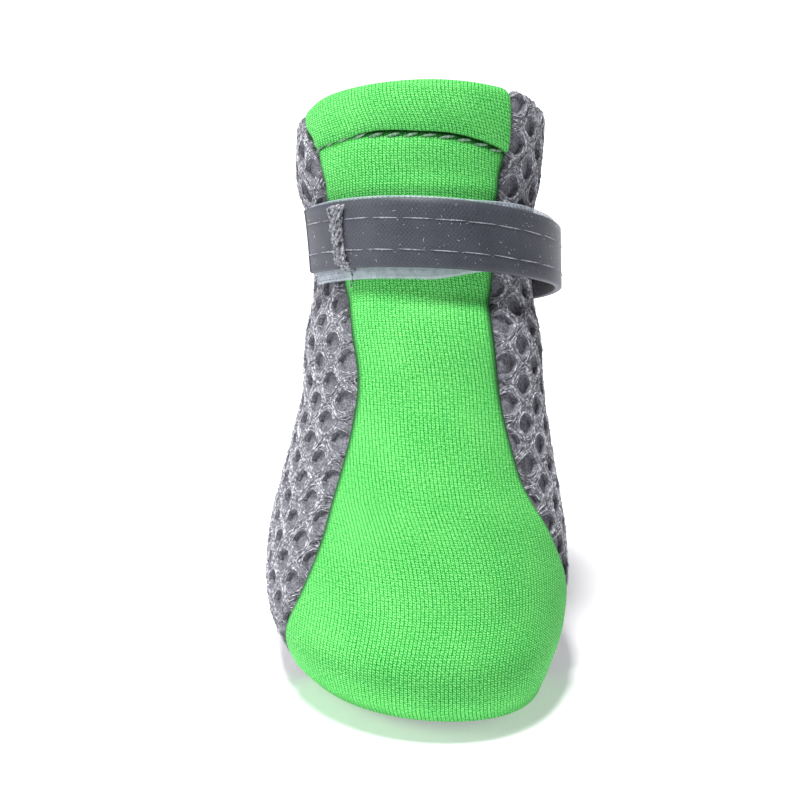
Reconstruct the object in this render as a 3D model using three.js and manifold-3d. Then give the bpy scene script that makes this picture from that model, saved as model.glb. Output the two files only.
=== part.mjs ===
// A small dog's boot, standing empty and fastened: a hollow fabric upper, a rubber sole and an insole
// inside its lower edge, and a hook-and-loop strap with its backing tape and a yarn keeper.
// Millimetres, +Z up. The toe points to -Y and the heel to +Y; the origin is the middle of the sole's rest.
import * as THREE from "three";
import { mergeVertices } from "three/addons/utils/BufferGeometryUtils.js";
import Module from "manifold-3d";

// ---------------------------------------------------------------- driving dimensions
const GAP = 0.3; // clearance between two pieces that lie on each other
const PLATE_BOTTOM = 0.9; // the outsole's underside, between its lugs
const PLATE_TOP = 2.2;
const INSOLE_BOTTOM = PLATE_TOP + GAP;
const INSOLE_TOP = 4.0;
const LUG_LENGTH = 2.6; // along the foot
const LUG_PITCH = 5.0;
const LUG_EDGE = 2.2; // from a lug's end to the edge of the sole
const LUG_GROOVE = 1.6; // the lengthwise groove down the middle
const REST_PAD = { width: 15, length: 9 }; // the flat pad under the middle of the foot
const TOE_SPRING = 1.5; // how far the tip of the toe is raised
const TOE_SPRING_START = -12; // where the sole begins to rise
const TOE_TIP = -28;
const TOE_SPRING_FADE = 20; // height at which the upper no longer feels it
const LIP_HEIGHT = 0.8; // the rounded top of the collar
const TAPE_THICKNESS = 0.7;
const STRAP_THICKNESS = 1.0;
const STRAP_FREE_END = -83; // degrees round the shaft, 0 at the front, positive towards +X
const STRAP_SEWN_END = 245;
const TAPE_ENDS = [-86, 112];
const SLACK = { height: 2.4, centre: 88, spread: 62 }; // the strap's slack loop on the +X side
const KEEPER = { angle: -49, width: 2.4, thickness: 0.9, overhang: 1.2 };

// The upper's sections, from the edge round the sole to the collar. Each one is a flat ring that spans a
// front point and a back point. half is its half width, and widest tells where along its depth that lies.
// swing carries the front of the ring sideways, and the powers square off its front and its back.
const COLUMNS = [
  "frontY", "frontZ", "backY", "backZ", "half", "widest", "swing", "frontPower", "backPower", "wall",
];
const SECTIONS = {
  seam: [-28.8, 1.0, 25.6, 1.0, 17.6, 0.42, 3.2, 2.0, 2.3, 1.8],
  welt: [-30.4, 4.5, 27.4, 4.5, 19.6, 0.42, 1.6, 2.1, 2.3, 2.2],
  toe: [-29.6, 10.0, 28.0, 9.5, 21.2, 0.42, 0.2, 2.2, 2.3, 2.4],
  ball: [-24.2, 16.5, 28.2, 14.0, 21.2, 0.42, 0.8, 2.2, 2.3, 2.4],
  vamp: [-18.4, 23.5, 28.0, 18.5, 20.1, 0.43, 1.8, 2.2, 2.2, 2.4],
  instep: [-12.0, 31.0, 28.0, 23.0, 18.6, 0.45, 2.7, 2.1, 2.2, 2.4],
  ankle: [-5.8, 39.5, 28.8, 28.0, 17.4, 0.48, 3.2, 2.1, 2.1, 2.4],
  throat: [-0.4, 48.8, 30.6, 34.0, 16.7, 0.5, 3.2, 2.1, 2.1, 2.4],
  strapLow: [3.6, 55.0, 33.2, 39.4, 15.5, 0.5, 2.9, 2.1, 2.1, 2.2],
  strapHigh: [7.6, 64.2, 37.6, 48.2, 15.7, 0.5, 1.7, 2.1, 2.1, 2.2],
  cuff: [9.9, 70.0, 39.8, 52.4, 17.2, 0.5, 1.0, 2.1, 2.1, 2.4],
  collar: [14.0, 80.1, 42.6, 59.4, 17.7, 0.5, 1.2, 2.0, 2.0, 2.4],
};
const ROWS = Object.values(SECTIONS);
const COLLAR = ROWS.length - 1;
const STRAP_LOW = Object.keys(SECTIONS).indexOf("strapLow");
const STRAP_HIGH = Object.keys(SECTIONS).indexOf("strapHigh");

const AROUND = 48; // facets round the boot
const PER_SECTION = 2; // facets between two sections
const SOLE_RINGS = [0.35, 0.7, 1];

// ---------------------------------------------------------------- the upper's surface
/** A section anywhere between the table's rows, by a smooth curve through each column. */
function sectionAt(s) {
  const i = Math.min(Math.max(Math.floor(s), 0), ROWS.length - 2);
  const f = s - i;
  const row = (k, c) => {
    if (k < 0) return 2 * ROWS[0][c] - ROWS[1][c];
    if (k > COLLAR) return 2 * ROWS[COLLAR][c] - ROWS[COLLAR - 1][c];
    return ROWS[k][c];
  };
  const section = {};
  COLUMNS.forEach((column, c) => {
    const [p0, p1, p2, p3] = [row(i - 1, c), row(i, c), row(i + 1, c), row(i + 2, c)];
    const cubic = -p0 + 3 * p1 - 3 * p2 + p3;
    const square = 2 * p0 - 5 * p1 + 4 * p2 - p3;
    section[column] = 0.5 * (2 * p1 + (p2 - p0) * f + square * f * f + cubic * f * f * f);
  });
  return section;
}

/** How far the toe spring raises a point. */
function toeLift(y, z) {
  const t = Math.max((TOE_SPRING_START - y) / (TOE_SPRING_START - TOE_TIP), 0);
  return TOE_SPRING * t * t * Math.min(Math.max(1 - z / TOE_SPRING_FADE, 0), 1);
}

/** The outer surface: s counts sections up from the seam, angle is in radians from the front. */
function outside(s, angle) {
  const q = sectionAt(s);
  const cos = Math.cos(angle);
  const sin = Math.sin(angle);
  const power = 2 / (cos >= 0 ? q.frontPower : q.backPower);
  const along = Math.abs(cos) ** power;
  const across = Math.sign(sin) * Math.abs(sin) ** power;
  const depth = cos >= 0 ? q.widest * (1 - along) : q.widest + (1 - q.widest) * along;
  const y = q.frontY + depth * (q.backY - q.frontY);
  const z = q.frontZ + depth * (q.backZ - q.frontZ);
  const x = q.half * across + q.swing * (1 - depth) ** 2;
  return new THREE.Vector3(x, y, z + toeLift(y, z));
}

/** The unit direction up the boot's side at a point of the surface. */
function upward(s, angle) {
  const step = 0.02;
  const low = Math.max(s - step, 0);
  const high = Math.min(s + step, COLLAR);
  return outside(high, angle).sub(outside(low, angle)).normalize();
}

/** The outward normal there. Its angle step is wide enough to stay smooth where a ring is squared off. */
function normal(s, angle) {
  const step = 0.06;
  const round = outside(s, angle + step).sub(outside(s, angle - step));
  return round.cross(upward(s, angle)).normalize();
}

/** A point held off the surface by a distance along its normal. */
function heldOff(s, angle, distance) {
  return outside(s, angle).addScaledVector(normal(s, angle), distance);
}

/** A point inside the lower edge, moved in level so that the edge's rim stays flat. */
function levelInside(s, angle, distance) {
  const level = normal(s, angle).setZ(0).normalize();
  return outside(s, angle).addScaledVector(level, -distance);
}

// ---------------------------------------------------------------- closed meshes
/** Joins closed loops of points one after another into one closed surface, ring-shaped or capped. */
function skin(loops, ringShaped = false) {
  const around = loops[0].length;
  const points = loops.flat();
  const index = [];
  const at = (i, j) => (i % loops.length) * around + (j % around);
  const spans = ringShaped ? loops.length : loops.length - 1;
  for (let i = 0; i < spans; i += 1) {
    for (let j = 0; j < around; j += 1) {
      index.push(at(i, j), at(i, j + 1), at(i + 1, j + 1));
      index.push(at(i, j), at(i + 1, j + 1), at(i + 1, j));
    }
  }
  if (!ringShaped) {
    [0, loops.length - 1].forEach((end) => {
      const middle = new THREE.Vector3();
      loops[end].forEach((p) => middle.addScaledVector(p, 1 / around));
      const hub = points.push(middle) - 1;
      for (let j = 0; j < around; j += 1) {
        index.push(hub, ...(end ? [at(end, j), at(end, j + 1)] : [at(end, j + 1), at(end, j)]));
      }
    });
  }
  const geometry = new THREE.BufferGeometry().setFromPoints(points);
  geometry.setIndex(index);
  geometry.computeVertexNormals();
  return geometry;
}

const ringAngles = Array.from({ length: AROUND }, (_, j) => (j / AROUND) * 2 * Math.PI);
const radians = THREE.MathUtils.degToRad;

/** Evenly spaced values from one number to another. */
function spread(from, to, steps) {
  return Array.from({ length: steps + 1 }, (_, i) => from + ((to - from) * i) / steps);
}

// ---------------------------------------------------------------- the upper
/** The hollow upper: its outer skin up, a rounded lip, and its inner skin down again. */
function makeUpper() {
  const levels = spread(0, COLLAR, COLLAR * PER_SECTION);
  const outer = levels.map((s) => ringAngles.map((a) => outside(s, a)));
  const wallAt = (s) => sectionAt(s).wall;
  const lip = ringAngles.map((a) =>
    heldOff(COLLAR, a, -wallAt(COLLAR) / 2).addScaledVector(upward(COLLAR, a), LIP_HEIGHT),
  );
  const inner = levels.map((s) =>
    ringAngles.map((a) => (s === 0 ? levelInside(s, a, wallAt(s)) : heldOff(s, a, -wallAt(s)))),
  );
  return skin([...outer, lip, ...inner.reverse()], true);
}

// ---------------------------------------------------------------- sole and insole
/** The section whose ring lies at a height, close above the seam. */
function sectionAtHeight(z) {
  const [seam, welt] = [SECTIONS.seam[1], SECTIONS.welt[1]];
  return Math.max((z - seam) / (welt - seam), 0);
}

/** A flat layer inside the upper's lower edge, its side following the wall at the usual gap. */
function makeLayer(bottom, top) {
  const lean = 1.2; // the wall leans out, so a level distance is longer than one square to the wall
  const outline = (z) => {
    const s = sectionAtHeight(z);
    const inset = (sectionAt(s).wall + GAP) * lean;
    return ringAngles.map((a) => levelInside(s, a, inset));
  };
  const ring = (z, share) =>
    outline(z).map((p) => {
      const [x, y] = [p.x * share, p.y * share];
      return new THREE.Vector3(x, y, z + toeLift(y, z));
    });
  const below = SOLE_RINGS.map((share) => ring(bottom, share));
  const above = SOLE_RINGS.map((share) => ring(top, share)).reverse();
  return skin([...below, ...above]);
}

/** A geometry as a solid for joining. */
function solidFrom(solids, geometry) {
  const bare = geometry.clone();
  bare.deleteAttribute("normal");
  bare.deleteAttribute("uv");
  const merged = mergeVertices(bare, 1e-4);
  const vertProperties = merged.attributes.position.array;
  const triVerts = new Uint32Array(merged.index.array);
  return new solids.Manifold(new solids.Mesh({ numProp: 3, vertProperties, triVerts }));
}

/** A joined solid as a geometry again. */
function geometryFrom(solid) {
  const mesh = solid.getMesh();
  const geometry = new THREE.BufferGeometry();
  geometry.setAttribute("position", new THREE.BufferAttribute(mesh.vertProperties, 3));
  geometry.setIndex(new THREE.BufferAttribute(mesh.triVerts, 1));
  geometry.computeVertexNormals();
  return geometry;
}

/** One lug: a block from the ground into the plate, raised with the toe. */
function makeLug(width, length, x, y) {
  const embedded = 0.3;
  const height = PLATE_BOTTOM + embedded;
  const block = new THREE.BoxGeometry(width, length, height).translate(x, y, height / 2);
  const corners = block.attributes.position;
  for (let i = 0; i < corners.count; i += 1) {
    corners.setZ(i, corners.getZ(i) + toeLift(corners.getY(i), 0));
  }
  return block;
}

/** How far the sole reaches to one side at a place along the foot. */
function soleReach(y, side) {
  const s = sectionAtHeight(PLATE_BOTTOM);
  const edge = spread(0, Math.PI, 90).map((a) => levelInside(s, a * side, sectionAt(s).wall + GAP));
  const nearest = edge.reduce((best, p) => (Math.abs(p.y - y) < Math.abs(best.y - y) ? p : best));
  return Math.abs(nearest.x);
}

/** The outsole: a thin plate with a rest pad in the middle and paired lugs before and behind it. */
function makeOutsole(solids) {
  let sole = solidFrom(solids, makeLayer(PLATE_BOTTOM, PLATE_TOP));
  const add = (block) => {
    sole = sole.add(solidFrom(solids, block));
  };
  add(makeLug(REST_PAD.width, REST_PAD.length, 0, 0));
  const firstLug = REST_PAD.length / 2 + LUG_PITCH - LUG_LENGTH / 2;
  const places = [
    ...spread(-firstLug, -firstLug - 3 * LUG_PITCH, 3),
    ...spread(firstLug, firstLug + 2 * LUG_PITCH, 2),
  ];
  places.forEach((y) => {
    [-1, 1].forEach((side) => {
      const ends = [y - LUG_LENGTH / 2, y + LUG_LENGTH / 2];
      const reach = Math.min(...ends.map((end) => soleReach(end, side))) - LUG_EDGE;
      const width = reach - LUG_GROOVE / 2;
      add(makeLug(width, LUG_LENGTH, side * (LUG_GROOVE / 2 + width / 2), y));
    });
  });
  return geometryFrom(sole);
}

// ---------------------------------------------------------------- strap, tape and keeper
/** The strap's edges, as sections; its ring stands a little higher on the -X side. */
const strapBottom = (angle) => STRAP_LOW + 0.07 - 0.09 * Math.sin(angle);
const strapTop = (angle) => STRAP_HIGH + 0.06 - 0.12 * Math.sin(angle);

/** The edges of the tape behind it, which shows a little above the strap, and lower on the -X side. */
const shownBelow = (angle) => 0.2 * THREE.MathUtils.smoothstep(-angle, radians(25), radians(60));
const tapeBottom = (angle) => strapBottom(angle) + 0.03 - shownBelow(angle);
const tapeTop = (angle) => strapTop(angle) + 0.05;

/** How far the strap's slack carries it off the shaft. */
function slack(angle) {
  const away = Math.abs(THREE.MathUtils.radToDeg(angle) - SLACK.centre) / SLACK.spread;
  return away < 1 ? SLACK.height * Math.cos((away * Math.PI) / 2) ** 2 : 0;
}

/** A band round the shaft between two angles, a thickness outside a clearance, between two edges. */
function makeBand([from, to], clearance, thickness, bottom, top) {
  const steps = Math.round((to - from) / 6);
  const loops = spread(radians(from), radians(to), steps).map((angle) => {
    const inner = clearance + slack(angle);
    const rising = spread(bottom(angle), top(angle), 3);
    const inside = rising.map((s) => heldOff(s, angle, inner));
    const outer = rising.map((s) => heldOff(s, angle, inner + thickness));
    return [...inside, ...outer.reverse()];
  });
  return skin(loops);
}

/** The hook tape, on the strap's inner side. */
function makeTape() {
  return makeBand(TAPE_ENDS, GAP, TAPE_THICKNESS, tapeBottom, tapeTop);
}

/** The strap, from its free end round the front and the back to where it is sewn down. */
function makeStrap() {
  const clearance = GAP + TAPE_THICKNESS + GAP;
  return makeBand([STRAP_FREE_END, STRAP_SEWN_END], clearance, STRAP_THICKNESS, strapBottom, strapTop);
}

/** The keeper: a flat bar of yarn over the strap, both ends down on the shaft. */
function makeKeeper() {
  const angle = radians(KEEPER.angle);
  const over = GAP + TAPE_THICKNESS + GAP + STRAP_THICKNESS + GAP;
  const perSection = outside(STRAP_HIGH, angle).distanceTo(outside(STRAP_LOW, angle));
  const reach = KEEPER.overhang / perSection;
  const foot = GAP + KEEPER.thickness / 2;
  const top = over + KEEPER.thickness / 2;
  const [low, high] = [tapeBottom(angle), tapeTop(angle)];
  const stations = [
    [low - 1.9 * reach, foot],
    [low - 1.25 * reach, foot + 0.35],
    [low - 0.85 * reach, top - 0.75],
    [low - 0.3 * reach, top],
    ...spread(low + 0.15, high - 0.15, 2).map((s) => [s, top]),
    [high + 0.3 * reach, top],
    [high + 0.85 * reach, top - 0.75],
    [high + 1.25 * reach, foot + 0.35],
    [high + 1.9 * reach, foot],
  ];
  const path = new THREE.CatmullRomCurve3(stations.map(([s, off]) => heldOff(s, angle, off)));
  const outward = normal((low + high) / 2, angle);
  const loops = spread(0, 1, 16).map((t) => {
    const centre = path.getPointAt(t);
    const side = path.getTangentAt(t).cross(outward).normalize();
    const away = path.getTangentAt(t).cross(side).normalize();
    return spread(0, 2 * Math.PI, 10).slice(0, -1).map((a) =>
      centre.clone()
        .addScaledVector(side, (KEEPER.width / 2) * Math.cos(a))
        .addScaledVector(away, (KEEPER.thickness / 2) * Math.sin(a)),
    );
  });
  return skin(loops);
}

// ---------------------------------------------------------------- the boot
const wasm = await Module();
wasm.setup();

const group = new THREE.Group();

function addPart(name, geometry, color, roughness) {
  const material = new THREE.MeshStandardMaterial({ color, roughness, metalness: 0 });
  const mesh = new THREE.Mesh(geometry, material);
  mesh.name = name;
  group.add(mesh);
}

addPart("upper", makeUpper(), 0x6bde77, 0.9);
addPart("outsole", makeOutsole(wasm), 0x26282b, 0.75);
addPart("insole", makeLayer(INSOLE_BOTTOM, INSOLE_TOP), 0x55585d, 0.95);
addPart("hook_tape", makeTape(), 0xd3d9f3, 0.45);
addPart("strap", makeStrap(), 0x5b5d68, 0.5);
addPart("keeper", makeKeeper(), 0x8f9096, 0.95);

export default group;
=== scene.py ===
"""A small dog's boot, standing empty and fastened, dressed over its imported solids.

A knit neoprene front panel with a folded hem, air-mesh sides and back, a lining, and a hook-and-loop
strap with its hook tape, thread rows and yarn keeper. The toe points to -Y, the heel to +Y, up is +Z.
Sizes in the classes are millimetres, and every mesh is written in metres.
"""
import logging
import math
from dataclasses import astuple, dataclass
from enum import Enum

import bmesh
import bpy
import numpy as np
from mathutils import Matrix, Vector


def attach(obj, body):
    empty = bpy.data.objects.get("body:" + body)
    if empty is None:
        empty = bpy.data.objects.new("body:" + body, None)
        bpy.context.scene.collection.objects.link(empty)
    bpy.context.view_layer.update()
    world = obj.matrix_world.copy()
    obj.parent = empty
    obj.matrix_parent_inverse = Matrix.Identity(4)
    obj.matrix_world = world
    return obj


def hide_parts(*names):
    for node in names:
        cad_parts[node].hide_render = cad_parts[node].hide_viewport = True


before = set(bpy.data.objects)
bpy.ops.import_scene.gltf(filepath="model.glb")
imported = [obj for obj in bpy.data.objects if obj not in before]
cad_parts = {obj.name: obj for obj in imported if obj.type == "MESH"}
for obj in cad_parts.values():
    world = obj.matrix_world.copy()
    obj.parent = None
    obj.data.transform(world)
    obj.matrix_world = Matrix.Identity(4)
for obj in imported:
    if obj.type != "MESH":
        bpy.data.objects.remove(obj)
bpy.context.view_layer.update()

MM = 0.001
LOG = logging.getLogger("dog_boot")
Array = np.ndarray
Face = tuple[int, ...]
Material = bpy.types.Material
Node = bpy.types.Node
Object = bpy.types.Object
Knots = tuple[tuple[float, float], ...]


class Slot(Enum):
    """The record's material slots."""

    UPPER = "upper_fabric"
    SOLE = "sole_rubber"
    INSOLE = "insole_felt"
    HOOK = "hook_plastic"
    STRAP = "reflective_webbing"
    KEEPER = "keeper_yarn"


# ------ curves and the boot's surface
def smooth_curve(knots: Knots, at: Array) -> Array:
    """Reads a smooth curve through its knots.

    Args:
        knots: pairs of place and value, in rising order of place.
        at: the places to read, held inside the first and last knot.

    Returns:
        The curve's values.
    """
    places, values = np.array(knots, float).T
    slopes = np.gradient(values, places)
    span = np.clip(np.searchsorted(places, at) - 1, 0, len(places) - 2)
    width = places[span + 1] - places[span]
    t = np.clip((at - places[span]) / width, 0.0, 1.0)
    start = (2 * t**3 - 3 * t**2 + 1) * values[span] + (t**3 - 2 * t**2 + t) * width * slopes[span]
    end = (3 * t**2 - 2 * t**3) * values[span + 1] + (t**3 - t**2) * width * slopes[span + 1]
    return start + end


def smoothstep(value: Array, low: float, high: float) -> Array:
    """Rises smoothly from 0 at low to 1 at high."""
    t = np.clip((value - low) / (high - low), 0.0, 1.0)
    return t * t * (3 - 2 * t)


def rolled_edge(clear: Array, reach: float) -> Array:
    """A quarter-round drop: 1 at an edge, and 0 where clear of it by reach."""
    q = np.clip(clear / reach, 0.0, 1.0)
    return 1 - np.sqrt(1 - (1 - q) ** 2)


def unit(vectors: Array) -> Array:
    """Vectors of length one."""
    return vectors / np.maximum(np.linalg.norm(vectors, axis=-1, keepdims=True), 1e-9)


def run_along(points: Array, axis: int = 0) -> Array:
    """The length run along lines of points, from 0 at their start.

    Args:
        points: the points, with x, y and z last.
        axis: the axis that the lines run along.

    Returns:
        The length at each point.
    """
    steps = np.linalg.norm(np.diff(points, axis=axis), axis=-1)
    return np.insert(np.cumsum(steps, axis=axis), 0, 0.0, axis=axis)


def read_table(table: Array, rows: Array, columns: Array, row: Array, column: Array) -> Array:
    """Reads tables with evenly spaced rows and columns between their crossings.

    Args:
        table: the values, with the rows and columns last.
        rows: the rows' places.
        columns: the columns' places.
        row: where to read, across the rows.
        column: where to read, across the columns.

    Returns:
        The values there.
    """
    inside = 1.001  # keeps the last place within the last cell
    row = np.clip((row - rows[0]) / (rows[1] - rows[0]), 0, len(rows) - inside)
    column = np.clip((column - columns[0]) / (columns[1] - columns[0]), 0, len(columns) - inside)
    i, j = row.astype(int), column.astype(int)
    f, g = row - i, column - j
    low = table[..., i, j] * (1 - g) + table[..., i, j + 1] * g
    high = table[..., i + 1, j] * (1 - g) + table[..., i + 1, j + 1] * g
    return low * (1 - f) + high * f


@dataclass(frozen=True)
class Section:
    """One flat ring of the upper, from its front point to its back point."""

    front_y: float
    front_z: float
    back_y: float
    back_z: float
    half: float  # half its width
    widest: float  # where along its depth it is widest
    swing: float  # how far its front is carried sideways
    front_power: float  # squares off its front
    back_power: float


SECTIONS = {
    "seam_shade": Section(-28.8, 1.0, 25.6, 1.0, 17.6, 0.42, 3.2, 2.0, 2.3),
    "welt": Section(-30.4, 4.5, 27.4, 4.5, 19.6, 0.42, 1.6, 2.1, 2.3),
    "toe": Section(-29.6, 10.0, 28.0, 9.5, 21.2, 0.42, 0.2, 2.2, 2.3),
    "ball": Section(-24.2, 16.5, 28.2, 14.0, 21.2, 0.42, 0.8, 2.2, 2.3),
    "vamp": Section(-18.4, 23.5, 28.0, 18.5, 20.1, 0.43, 1.8, 2.2, 2.2),
    "instep": Section(-12.0, 31.0, 28.0, 23.0, 18.6, 0.45, 2.7, 2.1, 2.2),
    "ankle": Section(-5.8, 39.5, 28.8, 28.0, 17.4, 0.48, 3.2, 2.1, 2.1),
    "throat": Section(-0.4, 48.8, 30.6, 34.0, 16.7, 0.5, 3.2, 2.1, 2.1),
    "strap_low": Section(3.6, 55.0, 33.2, 39.4, 15.5, 0.5, 2.9, 2.1, 2.1),
    "strap_high": Section(7.6, 64.2, 37.6, 48.2, 15.7, 0.5, 1.7, 2.1, 2.1),
    "cuff": Section(9.9, 70.0, 39.8, 52.4, 17.2, 0.5, 1.0, 2.1, 2.1),
    "collar": Section(14.0, 80.1, 42.6, 59.4, 17.7, 0.5, 1.2, 2.0, 2.0),
}


@dataclass(frozen=True)
class Crease:
    """A soft dent or ridge of the upper, longest round the leg."""

    height: float  # in sections
    angle: float  # degrees from the front
    reach: float  # half its length, degrees
    width: float  # half its width, sections
    depth: float  # mm, negative for a ridge
    slant: float = 0.0  # sections it climbs over its reach

    def dent(self, s: Array, angle: Array) -> Array:
        """How far the surface is pushed in.

        Args:
            s: heights in sections.
            angle: angles in radians.

        Returns:
            The depth in mm at each point.
        """
        turn = (np.degrees(angle) - self.angle + 180.0) % 360.0 - 180.0
        along = turn / self.reach
        across = (s - self.height - self.slant * along) / self.width
        return self.depth * np.exp(-(along**2) - across**2)


@dataclass(frozen=True)
class BootSurface:
    """The upper's outer skin, with its roll over the collar and its turn under the sole.

    A point has a height s in sections, 0 at the sole and 11 at the collar, and an angle in radians,
    0 at the front and positive towards +X. Past either end s goes on along the cloth.
    """

    fold_at: float = 10.86  # where the cloth starts to roll over the collar
    fold_radius: float = 1.2
    run: float = 10.0  # mm of cloth to one section past the ends
    turn_under: float = 0.8  # mm past the sole's edge over which the cloth faces down
    toe_rise: float = 1.5  # how far the toe's tip lifts
    toe_start: float = -12.0  # y where it starts to lift
    toe_tip: float = -28.0
    toe_fade: float = 20.0  # the height where the lift has faded out
    height_step: float = 0.02  # sections to each side, for directions
    angle_step: float = 0.06  # radians to each side, wide enough for smooth squared corners
    girth_step: float = 0.05
    creases: tuple[Crease, ...] = (
        Crease(7.55, 6.0, 36.0, 0.34, 1.0, 0.0),
        Crease(6.65, 6.0, 34.0, 0.26, -0.22, 0.12),
        Crease(5.7, -34.0, 26.0, 0.40, 0.30, 0.35),
        Crease(4.9, 34.0, 22.0, 0.34, 0.34, -0.40),
        Crease(4.3, 30.0, 26.0, 0.34, -0.26, -0.30),
        Crease(2.5, 40.0, 34.0, 0.40, 0.30, -0.35),
        Crease(3.3, -30.0, 30.0, 0.45, 0.22, 0.40),
        Crease(9.75, 0.0, 50.0, 0.28, 0.25, 0.06),
        Crease(10.1, -98.0, 34.0, 1.10, -0.75),
        Crease(0.7, 74.0, 30.0, 1.40, 0.9),
        Crease(6.4, 180.0, 60.0, 0.35, 0.50, 0.0),
        Crease(5.4, 175.0, 55.0, 0.35, 0.35, 0.1),
        Crease(5.9, 105.0, 30.0, 0.40, 0.35, -0.3),
        Crease(5.9, -105.0, 30.0, 0.40, 0.35, 0.3),
    )

    def columns(self, s: Array) -> Array:
        """The section's nine values at any height, by a smooth curve through the table's rows.

        Args:
            s: heights in sections.

        Returns:
            The values, nine last.
        """
        rows = np.array([astuple(section) for section in SECTIONS.values()])
        padded = np.vstack([2 * rows[0] - rows[1], rows, 2 * rows[-1] - rows[-2]])
        s = np.clip(s, 0.0, len(rows) - 1.0)
        i = np.clip(np.floor(s).astype(int), 0, len(rows) - 2)
        f = (s - i)[..., None]
        p0, p1, p2, p3 = padded[i], padded[i + 1], padded[i + 2], padded[i + 3]
        square = 2 * p0 - 5 * p1 + 4 * p2 - p3
        return 0.5 * (2 * p1 + (p2 - p0) * f + square * f**2 + (3 * p1 - p0 - 3 * p2 + p3) * f**3)

    def outside(self, s: Array, angle: Array) -> Array:
        """The points of the skin.

        Args:
            s: heights from 0 to 11.
            angle: angles in radians.

        Returns:
            The points in mm.
        """
        s, angle = np.broadcast_arrays(np.asarray(s, float), np.asarray(angle, float))
        q = np.moveaxis(self.columns(s), -1, 0)
        cos, sin = np.cos(angle), np.sin(angle)
        power = 2.0 / np.where(cos >= 0, q[7], q[8])
        along, across = np.abs(cos) ** power, np.sign(sin) * np.abs(sin) ** power
        depth = np.where(cos >= 0, q[5] * (1 - along), q[5] + (1 - q[5]) * along)
        y = q[0] + depth * (q[2] - q[0])
        z = q[1] + depth * (q[3] - q[1])
        x = q[4] * across + q[6] * (1 - depth) ** 2
        rise = np.maximum((self.toe_start - y) / (self.toe_start - self.toe_tip), 0.0)
        z = z + self.toe_rise * rise**2 * np.clip(1 - z / self.toe_fade, 0.0, 1.0)
        return np.stack([x, y, z], axis=-1)

    def upward(self, s: Array, angle: Array) -> Array:
        """The direction up the boot's side.

        Args:
            s: heights in sections.
            angle: angles in radians.

        Returns:
            Unit vectors.
        """
        top = len(SECTIONS) - 1.0
        low, high = (np.clip(s + step, 0.0, top) for step in (-self.height_step, self.height_step))
        return unit(self.outside(high, angle) - self.outside(low, angle))

    def normal(self, s: Array, angle: Array) -> Array:
        """The outward normal."""
        step = self.outside(s, angle + self.angle_step) - self.outside(s, angle - self.angle_step)
        return unit(np.cross(step, self.upward(s, angle)))

    def girth(self, s: Array, angle: Array) -> Array:
        """How far it is round the boot.

        Args:
            s: heights in sections, past the ends too.
            angle: angles in radians.

        Returns:
            Millimetres to one radian at each point.
        """
        base = np.clip(s, 0.0, self.fold_at)
        step = self.outside(base, angle + self.girth_step) - self.outside(base, angle - self.girth_step)
        return np.linalg.norm(step, axis=-1) / (2 * self.girth_step)

    def place(self, s: Array, angle: Array, offset: Array | float = 0.0) -> Array:
        """Points held off the skin, over the collar and under the sole's edge too.

        Args:
            s: heights in sections, past the ends too.
            angle: angles in radians.
            offset: mm outwards.

        Returns:
            The points in mm.
        """
        s, angle, offset = np.broadcast_arrays(np.asarray(s, float), angle, offset)
        base = np.clip(s, 0.0, self.fold_at)
        point, out, up = self.outside(base, angle), self.normal(base, angle), self.upward(base, angle)
        dent = sum(crease.dent(base, angle) for crease in self.creases)
        over = np.maximum(s - self.fold_at, 0.0) * self.run
        turn = np.minimum(over / self.fold_radius, math.pi)[..., None]
        down = np.maximum(over - math.pi * self.fold_radius, 0.0)[..., None]
        under = np.maximum(-s, 0.0) * self.run
        tilt = (np.minimum(under / self.turn_under, 1.0) * math.pi / 2)[..., None]
        level = unit(out * np.array([1.0, 1.0, 0.0]))
        rolled = out * (np.cos(turn) - 1.0) * self.fold_radius + up * np.sin(turn) * self.fold_radius
        facing = out * np.cos(turn) * np.cos(tilt) + up * np.sin(turn)
        facing = facing - np.array([0.0, 0.0, 1.0]) * np.sin(tilt)
        point = point + rolled - up * down - level * under[..., None] - out * dent[..., None]
        return point + facing * offset[..., None]


@dataclass(frozen=True)
class FrontOutline:
    """The knit panel's two side edges and the collar's stitch line, in sections and degrees."""

    left: Knots = (
        (0.0, -76), (1.0, -72), (2.0, -65), (3.0, -55), (3.84, -50), (4.5, -49), (5.45, -46.5),
        (6.3, -45), (6.8, -49), (7.57, -55), (8.0, -60), (9.2, -67), (9.7, -63), (10.36, -65.5),
        (10.44, -66), (10.7, -74), (11.0, -81), (12.5, -83),
    )
    right: Knots = (
        (0.0, 80), (1.5, 79), (3.0, 71), (3.84, 58), (4.6, 44), (5.45, 32), (6.0, 26.5), (6.55, 23.5),
        (7.13, 22), (8.0, 26), (9.2, 33), (10.2, 35), (10.36, 36.5), (12.5, 36.5),
    )
    stitching: Knots = (
        (-90, 10.34), (-65, 10.36), (-45, 10.42), (-17, 10.39), (-4, 10.38), (19, 10.3), (40, 10.17),
    )

    def left_edge(self, s: Array) -> Array:
        """The left edge's angle in radians."""
        return np.radians(smooth_curve(self.left, s))

    def right_edge(self, s: Array) -> Array:
        """The right edge's angle in radians."""
        return np.radians(smooth_curve(self.right, s))

    def stitch_line(self, angle: Array) -> Array:
        """The height of the collar's stitch line, in sections."""
        return smooth_curve(self.stitching, np.degrees(angle))

    def clearance(self, surface: BootSurface, s: Array, angle: Array) -> Array:
        """How far the mesh lies clear of the knit panel.

        Args:
            s: heights in sections.
            angle: angles from 0 to 2 pi.

        Returns:
            Millimetres, negative under the panel.
        """
        girth = surface.girth(s, angle)
        from_right = (angle - self.right_edge(s)) * girth
        from_left = (self.left_edge(s) + 2 * math.pi - angle) * girth
        return np.minimum(from_right, from_left)


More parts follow.
